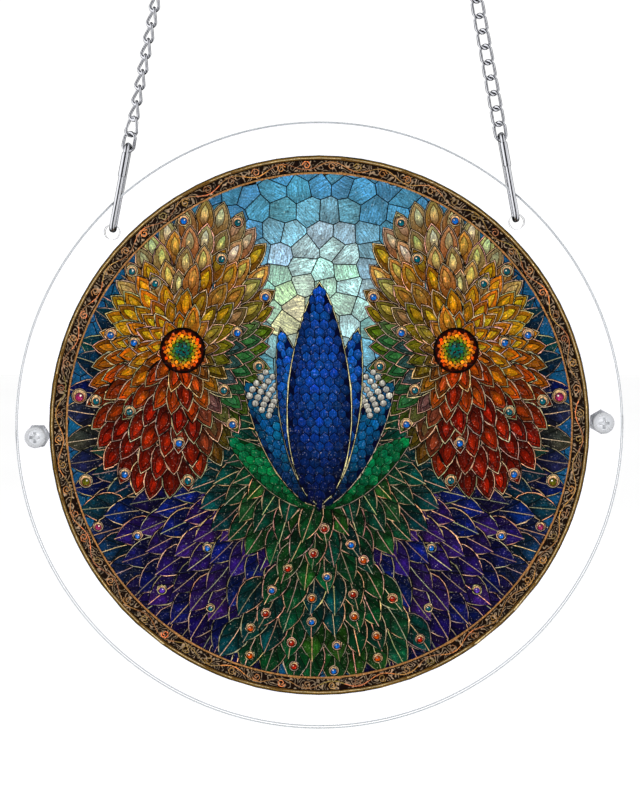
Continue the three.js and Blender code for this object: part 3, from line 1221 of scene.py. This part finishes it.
class Sheet:
    """The picture as flat triangles, each with the topmost cell that covers it.

    A first net of all outlines tells which cell is on top where. The second net has only the
    lines that show, and the places where a cell is lightest.
    """

    def __init__(self, picture):
        self.cells = picture.cells
        places, edges, crown_of = [], [], {}
        for index, cell in enumerate(self.cells):
            first, count = len(places), len(cell.outline)
            edges.extend((first + i, first + (i + 1) % count) for i in range(count))
            places.extend(cell.outline)
            for crown in cell.crowns:
                crown_of[len(places)] = index
                places.append(crown)
        points, _, faces, sources, _, _ = delaunay_2d_cdt(places, edges, [], 0, 1e-4)
        owners = topmost(self.cells, points, faces)
        crowned = {}
        for face, owner in zip(faces, owners):
            for i in face:
                if any(crown_of.get(source) == owner for source in sources[i]):
                    crowned[i] = owner
        self.net(points, self.lines_that_show(points, faces, owners), crowned)

    def lines_that_show(self, points, faces, owners):
        """Lines between different cells, as rows of points."""
        left = {}
        for face, owner in zip(faces, owners):
            for a, b in zip(face, face[1:] + face[:1]):
                left[(a, b)] = owner
        beside = {}
        for (a, b), owner in left.items():
            other = left.get((b, a), -1)
            if owner != other:
                beside.setdefault(a, set()).add(b)
                beside.setdefault(b, set()).add(a)
        lines = []
        used = set()
        ends = [i for i, others in beside.items() if len(others) != 2]
        for start in ends + list(beside):
            for after in beside[start]:
                if (start, after) in used:
                    continue
                chain = [start, after]
                used |= {(start, after), (after, start)}
                while len(beside[chain[-1]]) == 2 and chain[-1] != start:
                    onward = next(i for i in beside[chain[-1]] if i != chain[-2])
                    used |= {(chain[-1], onward), (onward, chain[-1])}
                    chain.append(onward)
                lines.append(straightened([points[i] for i in chain]))
        return lines

    def net(self, points, lines, crowned):
        """The second net, with the cell that shows in each of its triangles."""
        places, number, edges = [], {}, []

        def index_of(place):
            key = (round(place.x, 4), round(place.y, 4))
            if key not in number:
                number[key] = len(places)
                places.append(place)
            return number[key]

        for line in lines:
            for before, after in zip(line, line[1:]):
                edges.append((index_of(before), index_of(after)))
        crown_at = {index_of(points[i]): owner for i, owner in crowned.items()}
        self.points, _, self.faces, sources, _, _ = delaunay_2d_cdt(places, edges, [], 0, 1e-4)
        self.owners = topmost(self.cells, self.points, self.faces)
        printed = [cell for cell in self.cells if cell.finish != CUT]
        self.under = [printed[i] for i in topmost(printed, self.points, self.faces)]
        self.crown_of = {
            i: crown_at[source]
            for i, near in enumerate(sources)
            for source in near
            if source in crown_at
        }

    def corner(self, face, index):
        """The tint and grain of one corner of a face. A cut shows the print's colour, paler."""
        owner = self.owners[face]
        cell = self.cells[owner]
        place = self.points[index]
        if cell.finish == CUT:
            below = self.under[face]
            tone = blend(below.tone(place, False), cell.colours[0], SEAM_PALENESS)
            return (*tone, 1.0), below.along(place) + below.shift
        crowned = self.crown_of.get(index) == owner
        return (*cell.tone(place, crowned), 1.0), cell.along(place) + cell.shift


def groove_limit(radius):
    """The cuts stop at the border's first line, so that the rim stays whole."""
    return radius - 0.4


def rim_faces(front, back):
    """Triangles between two rims, each a row of (angle, point number) in order of angle."""
    front = sorted(front)
    back = sorted(back)
    front.append((front[0][0] + 2 * math.pi, front[0][1]))
    back.append((back[0][0] + 2 * math.pi, back[0][1]))
    faces = []
    i = j = 0
    while i < len(front) - 1 or j < len(back) - 1:
        front_next = front[i + 1][0] if i < len(front) - 1 else math.inf
        back_next = back[j + 1][0] if j < len(back) - 1 else math.inf
        if front_next <= back_next:
            faces.append([front[i][1], back[j][1], front[i + 1][1]])
            i += 1
        else:
            faces.append([front[i][1], back[j][1], back[j + 1][1]])
            j += 1
    return faces


def puzzle_mesh(front, back, radius, thickness, middle, depth):
    """A closed mesh: the picture in front, a plainer back, cuts sunk into both, and a rim."""
    points, faces, looks, rims = [], [], [], []
    plain = ((1.0, 1.0, 1.0, 1.0), point(0, 0))
    for sheet, side in ((front, -1), (back, 1)):
        number = {}

        def corner_at(index, sunk):
            key = (index, sunk)
            if key not in number:
                number[key] = len(points)
                x, z = sheet.points[index]
                y = side * (thickness / 2 - (depth if sunk else 0))
                points.append((middle.x + x * MM, y, middle.z + z * MM))
            return number[key]

        kept = []
        sunk_beside = {}
        for place, (face, owner) in enumerate(zip(sheet.faces, sheet.owners)):
            if owner < 0:
                continue
            centre = sum((sheet.points[i] for i in face), point(0, 0)) / 3
            finish = sheet.cells[owner].finish
            sunk = finish == CUT and centre.length < groove_limit(radius)
            kept.append((place, face, finish, sunk))
            for a, b in zip(face, face[1:] + face[:1]):
                sunk_beside[(a, b)] = sunk
        rim = set()
        for place, face, finish, sunk in kept:
            corners = [sheet.corner(place, i) for i in face]
            flat = [corner_at(i, sunk) for i in face]
            faces.append(flat[::-side])
            looks.append((finish, corners[::-side]))
            for a, b in zip(face, face[1:] + face[:1]):
                if (b, a) not in sunk_beside:
                    for i in (a, b):
                        spot = sheet.points[i]
                        rim.add((math.atan2(spot.y, spot.x), corner_at(i, False)))
                elif sunk and not sunk_beside[(b, a)]:
                    round_wall = ((a, False), (b, False), (b, True), (a, True))
                    wall = [corner_at(i, deep) for i, deep in round_wall]
                    faces.append(wall[::-side])
                    looks.append((CUT, [sheet.corner(place, i) for i, _ in round_wall][::-side]))
        rims.append(rim)
    for face in rim_faces(*rims):
        faces.append(face)
        looks.append((EDGE, [plain] * 3))
    mesh = bpy.data.meshes.new("puzzle")
    mesh.from_pydata(points, [], faces)
    mesh.uv_layers.new(name="grain")
    mesh.color_attributes.new("tint", "FLOAT_COLOR", "CORNER")
    corners = [corner for _, look in looks for corner in look]
    grain = [part for _, place in corners for part in place]
    tints = [part for tone, _ in corners for part in tone]
    mesh.uv_layers["grain"].uv.foreach_set("vector", grain)
    mesh.color_attributes["tint"].data.foreach_set("color", tints)
    mesh.polygons.foreach_set("material_index", [finish for finish, _ in looks])
    mesh.update()
    return mesh


# The pieces


class SUNCATCHER_OT_puzzle(bpy.types.Operator):
    """Makes the printed jigsaw puzzle"""

    bl_idname = "suncatcher.puzzle"
    bl_label = "Puzzle"

    def execute(self, context):
        radius = puzzle_radius() / MM
        thickness = PUZZLE_HIGH.y - PUZZLE_LOW.y
        picture = draw_picture(radius)
        front, back = Sheet(picture), Sheet(back_picture(picture))
        depth = sizes().seam_depth
        mesh = puzzle_mesh(front, back, radius, thickness, plates_middle(), depth)
        piece = bpy.data.objects.new("puzzle_picture", mesh)
        context.scene.collection.objects.link(piece)
        group = printed_group()
        # The last number of each printed finish is its painted glow, as if light came through the
        # print from behind.
        finishes = (
            printed_material("Printed glass", group, 1.0, 0.75, 0.12),
            printed_material("Printed lead", group, 0.3, 0.0, 0.0),
            printed_material("Printed gilt", group, 0.6, 0.8, 0.1),
            printed_material("Jigsaw cut", group, 0.5, 0.0, 0.05),
            cloudy_material("Cut acrylic", colours().cut[:], 900.0, 0.85, 0.35)[0],
            scrollwork_material(),
            back_material(),
        )
        finish_piece(piece, "puzzle_picture", "puzzle", "printed_acrylic", *finishes)
        return {"FINISHED"}


def plate_mesh(radius, low_y, high_y, bores, bevel):
    """A drilled disc with truly flat faces; bores are (centre, radius) pairs in mm."""
    outlines = [circle(point(0, 0), radius - bevel, 192), circle(point(0, 0), radius * 0.6, 40)]
    outlines.extend(circle(centre, bore, 40) for centre, bore in bores)
    places, edges = [], []
    for outline in outlines:
        first, count = len(places), len(outline)
        edges.extend((first + i, first + (i + 1) % count) for i in range(count))
        places.extend(outline)
    flat, _, faces, _, _, _ = delaunay_2d_cdt(places, edges, [], 0, 1e-5)
    solid = []
    for face in faces:
        centre = sum((flat[i] for i in face), point(0, 0)) / 3
        if all((centre - hole).length > bore for hole, bore in bores):
            solid.append(face)
    points = []
    full = radius / (radius - bevel)
    levels = ((low_y, 1), (low_y + bevel * MM, full), (high_y - bevel * MM, full), (high_y, 1))
    for y, spread in levels:
        points.extend((place.x * spread * MM, y, place.y * spread * MM) for place in flat)
    count = len(flat)
    made = [list(face) for face in solid]
    made.extend([3 * count + i for i in reversed(face)] for face in solid)
    sides = {(a, b) for face in solid for a, b in zip(face, face[1:] + face[:1])}
    for a, b in sides:
        if (b, a) in sides:
            continue
        outer = flat[a].length > radius - 2 * bevel and flat[b].length > radius - 2 * bevel
        rows = (0, count, 2 * count, 3 * count) if outer else (0, 3 * count)
        for near, far in zip(rows, rows[1:]):
            made.append([near + a, far + a, far + b, near + b])
    mesh = bpy.data.meshes.new("plate")
    mesh.from_pydata(points, [], made)
    return mesh


class SUNCATCHER_OT_plates(bpy.types.Operator):
    """Makes the two clear plates"""

    bl_idname = "suncatcher.plates"
    bl_label = "Clear plates"

    def execute(self, context):
        s = sizes()
        radius = (puzzle_radius() + s.plate_margin) / MM
        middle = plates_middle()
        clear = acrylic_material("Clear acrylic", colours().acrylic[:], 0.0, 0.0)
        edge = acrylic_material("Polished acrylic edge", colours().acrylic_edge[:], 0.1, 0.15)
        bores = []
        for side in (-1, 1):
            for turn, bore in (
                (s.hang_angle, s.hang_hole / 2),
                (s.screw_angle, s.screw_shank / 2 + s.thread_play),
            ):
                away = (on_plate(side * turn) - middle) / MM
                bores.append((point(away.x, away.z), bore / MM))
        for name, node in (("clear_front", "front_plate"), ("clear_back", "back_plate")):
            low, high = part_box(node)
            mesh = plate_mesh(radius, low.y, high.y, bores, s.edge_bevel / MM)
            mesh.transform(Matrix.Translation((middle.x, 0, middle.z)))
            plate = bpy.data.objects.new(name, mesh)
            context.scene.collection.objects.link(plate)
            select_only(plate)
            bpy.ops.object.mode_set(mode="EDIT")
            bpy.ops.mesh.select_all(action="SELECT")
            bpy.ops.mesh.delete_loose()
            bpy.ops.object.mode_set(mode="OBJECT")
            smooth(plate, 20)
            finish_piece(plate, name, node, "clear_acrylic", clear, edge)
            for face in plate.data.polygons:
                flat = abs(face.normal.y) > 0.9
                face.material_index = 0 if flat else 1
                face.use_smooth = not flat
            plate.visible_shadow = False
        return {"FINISHED"}


def screw_piece(centre):
    """A pan head with a cross recess on a threaded shank."""
    s = sizes()
    slot, arm, recess = 0.9 * MM, 3.6 * MM, 1.1 * MM
    front = -stack_half() - s.head_height
    head = rod(s.screw_head / 2, front, -stack_half(), centre, 48)
    bevel_rims(
        head,
        0.8 * MM,
        5,
        lambda e: max(e.verts[0].co.y, e.verts[1].co.y) < front + 1e-5,
    )
    for width, height in ((arm, slot), (slot, arm)):
        deselect_all()
        bpy.ops.mesh.primitive_cube_add(size=1, location=(centre.x, front, centre.z))
        tool = bpy.context.object
        tool.scale = (width, 2 * recess, height)
        apply_place(tool)
        cut_with(head, tool)
    shank = thread(centre, -stack_half() - 0.01 * MM, SCREW_HIGH.y)
    apply_modifier(head, "BOOLEAN", object=shank, operation="UNION", solver="EXACT")
    bpy.data.objects.remove(shank)
    smooth(head, 40)
    return head


def thread(centre, start, end):
    """A shank with ridges 0.7 mm apart, made by extruding and scaling its front face."""
    s = sizes()
    crest = s.screw_shank / 2
    root = crest - 0.35 * MM
    pitch = 0.7 * MM
    here = end - 0.3 * MM
    shank = rod(root, here, end, centre, 20)
    ridge = ((0.2 * MM, root), (0.35 * MM, crest), (0.45 * MM, crest), (0.65 * MM, root))
    y = here
    profile = []
    while y - pitch > start:
        profile.extend((y - further, wanted) for further, wanted in ridge)
        y -= pitch
    profile.append((start, root))
    select_only(shank)
    select_faces(shank, lambda face: face.normal.y < -0.9)
    radius = root
    for place, wanted in profile:
        bpy.ops.mesh.extrude_region_move(TRANSFORM_OT_translate={"value": (0, place - here, 0)})
        if wanted != radius:
            scale = wanted / radius
            bpy.ops.transform.resize(
                value=(scale, 1, scale), center_override=(centre.x, place, centre.z)
            )
        here = place
        radius = wanted
    bpy.ops.object.mode_set(mode="OBJECT")
    return shank


def nut_piece(centre, turn):
    """A hexagonal nut with chamfered corners and a bore."""
    s = sizes()
    corner = s.nut_width / 2 / math.cos(math.radians(30))
    low = stack_half()
    nut = rod(corner, low, low + s.nut_height, centre, 6)
    blank = rod(corner * 1.001, low - 0.01 * MM, low + s.nut_height, centre, 48)
    bevel_rims(
        blank,
        0.45 * MM,
        1,
        lambda e: min(e.verts[0].co.y, e.verts[1].co.y) > low + s.nut_height - 1e-5,
    )
    select_only(nut)
    bpy.ops.object.mode_set(mode="EDIT")
    bpy.ops.mesh.select_all(action="SELECT")
    bpy.ops.transform.rotate(
        value=turn, orient_axis="Y", center_override=(centre.x, low, centre.z)
    )
    bpy.ops.object.mode_set(mode="OBJECT")
    apply_modifier(nut, "BOOLEAN", object=blank, operation="INTERSECT", solver="EXACT")
    bpy.data.objects.remove(blank)
    cut_with(nut, rod(s.screw_shank / 2 + 0.02 * MM, low - MM, low + s.nut_height + MM, centre, 24))
    smooth(nut, 30)
    return nut


class SUNCATCHER_OT_screws(bpy.types.Operator):
    """Makes the screws and their nuts"""

    bl_idname = "suncatcher.screws"
    bl_label = "Screws and nuts"

    def execute(self, context):
        nylon = nylon_material()
        for side, name, turn in ((-1, "left", 30), (1, "right", 0)):
            centre = on_plate(side * sizes().screw_angle)
            screw = screw_piece(centre)
            finish_piece(screw, f"{name}_screw_detail", f"{name}_screw", "nylon", nylon)
            nut = nut_piece(centre, math.radians(turn))
            finish_piece(nut, f"{name}_nut_detail", f"{name}_nut", "nylon", nylon)
        return {"FINISHED"}


def clip_half_depth():
    """From the middle of the stack to the middle of a clip's leg."""
    s = sizes()
    return stack_half() + s.clip_play + s.clip_wire / 2


def clip_ends():
    """Heights of the middle of the wire at the clip's foot and head, up its strand."""
    s = sizes()
    into_bend = max(0.0, stack_half() - (clip_half_depth() - s.clip_bend))
    drop = math.sqrt(s.clip_bend**2 - into_bend**2)
    wire_top = s.clip_bend - drop + s.clip_wire / 2 * s.clip_bend / drop
    foot = s.hang_hole / 2 - s.seat_gap - wire_top
    return foot, foot + s.clip_length - s.clip_wire


def clip_piece():
    """An oblong wire clip with a sleeve on its front leg, upright at the origin."""
    s = sizes()
    foot, head = clip_ends()
    steps = 24
    deselect_all()
    bpy.ops.mesh.primitive_torus_add(
        major_segments=steps,
        minor_segments=14,
        major_radius=s.clip_bend / math.cos(math.pi / steps),
        minor_radius=s.clip_wire / 2,
        rotation=(0, math.radians(90), 0),
    )
    clip = bpy.context.object
    apply_place(clip)
    turn_in_edit(clip, math.pi / steps, "X")
    out = clip_half_depth() - s.clip_bend
    for way in (-1, 1):
        select_points(clip, lambda co: co.y * way > 0)
        bpy.ops.transform.translate(value=(0, way * out, 0))
        bpy.ops.object.mode_set(mode="OBJECT")
    half = (head - foot) / 2 - s.clip_bend
    for way in (-1, 1):
        select_points(clip, lambda co: co.z * way > 0)
        bpy.ops.transform.translate(value=(0, 0, way * half))
        bpy.ops.object.mode_set(mode="OBJECT")
    clip.data.transform(Matrix.Translation((0, 0, (foot + head) / 2)))
    top = head - s.clip_bend
    deselect_all()
    bpy.ops.mesh.primitive_cylinder_add(
        vertices=28,
        radius=s.sleeve_width / 2,
        depth=s.sleeve_length,
        location=(0, -clip_half_depth(), top - s.sleeve_length / 2),
    )
    sleeve = bpy.context.object
    apply_place(sleeve)
    bevel_rims(sleeve, 0.25 * MM, 3, lambda e: abs(e.verts[0].co.z - e.verts[1].co.z) < 1e-6)
    apply_modifier(clip, "BOOLEAN", object=sleeve, operation="UNION", solver="EXACT")
    bpy.data.objects.remove(sleeve)
    smooth(clip, 40)
    return clip


def turn_in_edit(obj, turn, axis):
    """The whole mesh is turned about an axis through the origin."""
    select_only(obj)
    bpy.ops.object.mode_set(mode="EDIT")
    bpy.ops.mesh.select_all(action="SELECT")
    bpy.ops.transform.rotate(value=turn, orient_axis=axis, center_override=(0, 0, 0))
    bpy.ops.object.mode_set(mode="OBJECT")


class SUNCATCHER_OT_clips(bpy.types.Operator):
    """Makes the two wire clips"""

    bl_idname = "suncatcher.clips"
    bl_label = "Clips"

    def execute(self, context):
        steel = polished_steel()
        pattern = clip_piece()
        for side, name in ((-1, "left"), (1, "right")):
            place, _ = strand_frame(side)
            clip = own_copy(pattern, f"{name}_clip_wire", place)
            finish_piece(clip, f"{name}_clip_wire", f"{name}_clip", "polished_steel", steel)
        bpy.data.objects.remove(pattern)
        return {"FINISHED"}


def link_piece(half_length, pitch):
    """One twisted link, upright at the origin."""
    s = sizes()
    steps = 16
    half_width = (s.link_width - s.link_wire) / 2
    deselect_all()
    bpy.ops.mesh.primitive_torus_add(
        major_segments=steps,
        minor_segments=6,
        major_radius=half_width / math.cos(math.pi / steps),
        minor_radius=s.link_wire / 2,
        rotation=(math.radians(90), 0, 0),
    )
    link = bpy.context.object
    apply_place(link)
    turn_in_edit(link, math.pi / steps, "Y")
    for way in (-1, 1):
        select_points(link, lambda co: co.z * way > 0)
        bpy.ops.transform.translate(value=(0, 0, way * (half_length - half_width)))
        bpy.ops.object.mode_set(mode="OBJECT")
    crossing = pitch / 2
    into_bend = crossing - (half_length - half_width)
    across = math.sqrt(half_width**2 - into_bend**2)
    turn = math.asin((s.link_wire + 0.05 * MM) / (2 * across))
    whole = turn / crossing * (2 * half_length + s.link_wire)
    apply_modifier(link, "SIMPLE_DEFORM", deform_method="TWIST", deform_axis="Z", angle=-whole)
    select_only(link)
    bpy.ops.object.shade_smooth()
    return link


def link_turn(index, count, twist):
    """A link's turn about the strand's line, from its clip's up to the ring's."""
    settle = min(index / 2, 1)
    even_links = 12
    edgewise = math.copysign(math.radians(90), twist)
    return settle * twist + step_between(even_links, count - 1, index) * (edgewise - twist)


class SUNCATCHER_OT_chains(bpy.types.Operator):
    """Makes the two strands of chain"""

    bl_idname = "suncatcher.chains"
    bl_label = "Chains"

    def execute(self, context):
        s = sizes()
        steel = polished_steel()
        _, head = clip_ends()
        for side, name, twist in ((-1, "left", s.left_twist), (1, "right", s.right_twist)):
            place, reach = strand_frame(side)
            lowest = head - (s.clip_wire + s.link_wire) / 2 - s.seat_gap
            highest = reach + (s.ring_wire + s.link_wire) / 2 + s.seat_gap
            linked = highest - lowest - s.link_wire + s.link_bite
            count = round(linked / s.link_pitch)
            pitch = linked / count
            half_length = (pitch + s.link_wire - s.link_bite) / 2
            pattern = link_piece(half_length, pitch)
            links = []
            for index in range(count):
                up = Matrix.Translation((0, 0, lowest + half_length + index * pitch))
                turn = Matrix.Rotation(link_turn(index, count, twist), 4, "Z")
                links.append(own_copy(pattern, f"link_{index}", place @ up @ turn))
            bpy.data.objects.remove(pattern)
            deselect_all()
            for link in links:
                link.select_set(True)
            bpy.context.view_layer.objects.active = links[0]
            bpy.ops.object.join()
            strand = bpy.context.object
            finish_piece(strand, f"{name}_chain_links", f"{name}_chain", "polished_steel", steel)
        return {"FINISHED"}


class SUNCATCHER_OT_ring(bpy.types.Operator):
    """Makes the hanging ring"""

    bl_idname = "suncatcher.ring"
    bl_label = "Hanging ring"

    def execute(self, context):
        s = sizes()
        steel = polished_steel()
        deselect_all()
        bpy.ops.mesh.primitive_torus_add(
            major_segments=56,
            minor_segments=16,
            major_radius=(s.ring_inner + s.ring_wire) / 2,
            minor_radius=s.ring_wire / 2,
            location=(0, 0, -s.ring_inner / 2),
            rotation=(math.radians(90), 0, 0),
        )
        ring = bpy.context.object
        apply_place(ring)
        bpy.ops.object.shade_smooth()
        finish_piece(ring, "hanging_ring_wire", "hanging_ring", "polished_steel", steel)
        return {"FINISHED"}


# The stage


def floor_piece(height):
    """A plain pale floor well below the object."""
    deselect_all()
    bpy.ops.mesh.primitive_plane_add(size=14, location=(0, 0, height))
    floor = bpy.context.object
    floor.name = "floor"
    material, tree, surface = cloudy_material("Pale floor", colours().floor[:], 0.8, 0.97, 0.9)
    fill(tree, surface, {"Specular IOR Level": 0.0})
    floor.data.materials.append(material)
    floor.visible_glossy = False
    floor.visible_transmission = False


def white_room():
    """The world: white all round to the eye, and with darker bands where metal mirrors it."""
    world = bpy.data.worlds.new("White room")
    bpy.context.scene.world = world
    world.use_nodes = True
    tree = world.node_tree
    tree.nodes.clear()
    output = add_node(tree, "ShaderNodeOutputWorld", (700, 0))
    plain = add_node(tree, "ShaderNodeBackground", (300, 120), "To the eye and through the plates")
    mirrored = add_node(tree, "ShaderNodeBackground", (300, -120), "In the metal")
    place = add_node(tree, "ShaderNodeTexCoord", (-700, -120))
    apart = add_node(tree, "ShaderNodeSeparateXYZ", (-500, -120))
    fill(tree, apart, {"Vector": place.outputs["Generated"]})
    side = map_range(tree, apart.outputs["X"], -1.0, 1.0, 0.0, 1.0, (-300, -120))
    white = (1.0, 1.0, 1.0)
    bands = (
        (0.1, 1.0),
        (0.2, 0.9),
        (0.28, 0.08),
        (0.44, 0.02),
        (0.6, 0.02),
        (0.68, 0.1),
        (0.76, 1.0),
        (0.9, 0.4),
    )
    greys = [(position, (grey, grey, grey * 1.04)) for position, grey in bands]
    banded = ramp_of(tree, side, (-100, -120), (0.0, white), (1.0, white), *greys)
    behind = map_range(tree, apart.outputs["Y"], 0.1, 0.6, 1.2, 0.12, (-300, -400))
    fill(tree, mirrored, {"Color": banded, "Strength": behind})
    path = add_node(tree, "ShaderNodeLightPath", (-300, 400)).outputs
    reflected = math_of(tree, "MINIMUM", (-100, 400), path["Glossy Depth"], 1.0)
    passed = math_of(tree, "MINIMUM", (-100, 650), path["Transmission Depth"], 1.0)
    strength = map_range(tree, passed, 0.0, 1.0, 1.1, 1.32, (100, 650))
    fill(tree, plain, {"Color": (*white, 1.0), "Strength": strength})
    choice = add_node(tree, "ShaderNodeMixShader", (500, 0))
    shown = {1: plain.outputs["Background"], 2: mirrored.outputs["Background"]}
    fill(tree, choice, {"Fac": reflected, **shown})
    fill(tree, output, {"Surface": choice.outputs["Shader"]})


def soft_lamp(name, place, aim, size, power):
    """A large soft lamp aimed at a point."""
    light = bpy.data.lights.new(name, "AREA")
    light.shape = "SQUARE"
    light.size = size
    light.energy = power
    lamp = bpy.data.objects.new(name, light)
    bpy.context.scene.collection.objects.link(lamp)
    lamp.location = place
    lamp.rotation_euler = (Vector(aim) - Vector(place)).to_track_quat("-Z", "Y").to_euler()
    lamp.visible_glossy = False
    lamp.visible_transmission = False


class SUNCATCHER_OT_stage(bpy.types.Operator):
    """Sets the floor, the light and the camera"""

    bl_idname = "suncatcher.stage"
    bl_label = "Stage"

    def execute(self, context):
        middle = plates_middle()
        floor_piece(PLATE_LOW.z - 0.12)
        white_room()
        soft_lamp("front_left", (-0.9, -1.5, 0.3), middle, 1.0, 14)
        soft_lamp("front_right", (1.1, -1.3, 0.1), middle, 0.8, 6)
        distance = 0.86
        frame_height = 0.264
        lift = math.radians(2.5)
        aim = middle + Vector((0.0002, 0, 0.0086))
        camera = bpy.data.cameras.new("camera")
        camera.sensor_width = 36
        camera.lens = 36 * distance / frame_height
        eye = bpy.data.objects.new("camera", camera)
        context.scene.collection.objects.link(eye)
        eye.location = aim + distance * Vector((0, -math.cos(lift), math.sin(lift)))
        eye.rotation_euler = (aim - eye.location).to_track_quat("-Z", "Y").to_euler()
        context.scene.camera = eye
        context.scene.view_settings.view_transform = "Standard"
        return {"FINISHED"}


# The add-on's panel and registration

OPERATORS = (
    SUNCATCHER_OT_puzzle,
    SUNCATCHER_OT_plates,
    SUNCATCHER_OT_screws,
    SUNCATCHER_OT_clips,
    SUNCATCHER_OT_chains,
    SUNCATCHER_OT_ring,
    SUNCATCHER_OT_stage,
)


class SUNCATCHER_PT_panel(bpy.types.Panel):
    """Lists the sizes, the colours and what can be made"""

    bl_idname = "SUNCATCHER_PT_panel"
    bl_label = "Puzzle suncatcher"
    bl_space_type = "VIEW_3D"
    bl_region_type = "UI"
    bl_category = "Suncatcher"

    def draw(self, context):
        layout = self.layout
        for settings in (context.scene.suncatcher_sizes, context.scene.suncatcher_colours):
            column = layout.column(align=True)
            for name in settings.bl_rna.properties.keys():
                if name not in ("rna_type", "name"):
                    column.prop(settings, name)
        for operator in OPERATORS:
            layout.operator(operator.bl_idname)


CLASSES = (SuncatcherSizes, SuncatcherColours, *OPERATORS, SUNCATCHER_PT_panel)


def register():
    """Adds the classes and their settings to Blender."""
    for one in CLASSES:
        bpy.utils.register_class(one)
    bpy.types.Scene.suncatcher_sizes = PointerProperty(type=SuncatcherSizes)
    bpy.types.Scene.suncatcher_colours = PointerProperty(type=SuncatcherColours)


def unregister():
    """Takes them out again."""
    del bpy.types.Scene.suncatcher_colours
    del bpy.types.Scene.suncatcher_sizes
    for one in reversed(CLASSES):
        bpy.utils.unregister_class(one)


def main():
    """Builds every piece and the stage."""
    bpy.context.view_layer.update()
    register()
    bpy.ops.suncatcher.puzzle()
    bpy.ops.suncatcher.plates()
    bpy.ops.suncatcher.screws()
    bpy.ops.suncatcher.clips()
    bpy.ops.suncatcher.chains()
    bpy.ops.suncatcher.ring()
    bpy.ops.suncatcher.stage()


if __name__ == "__main__":
    main()
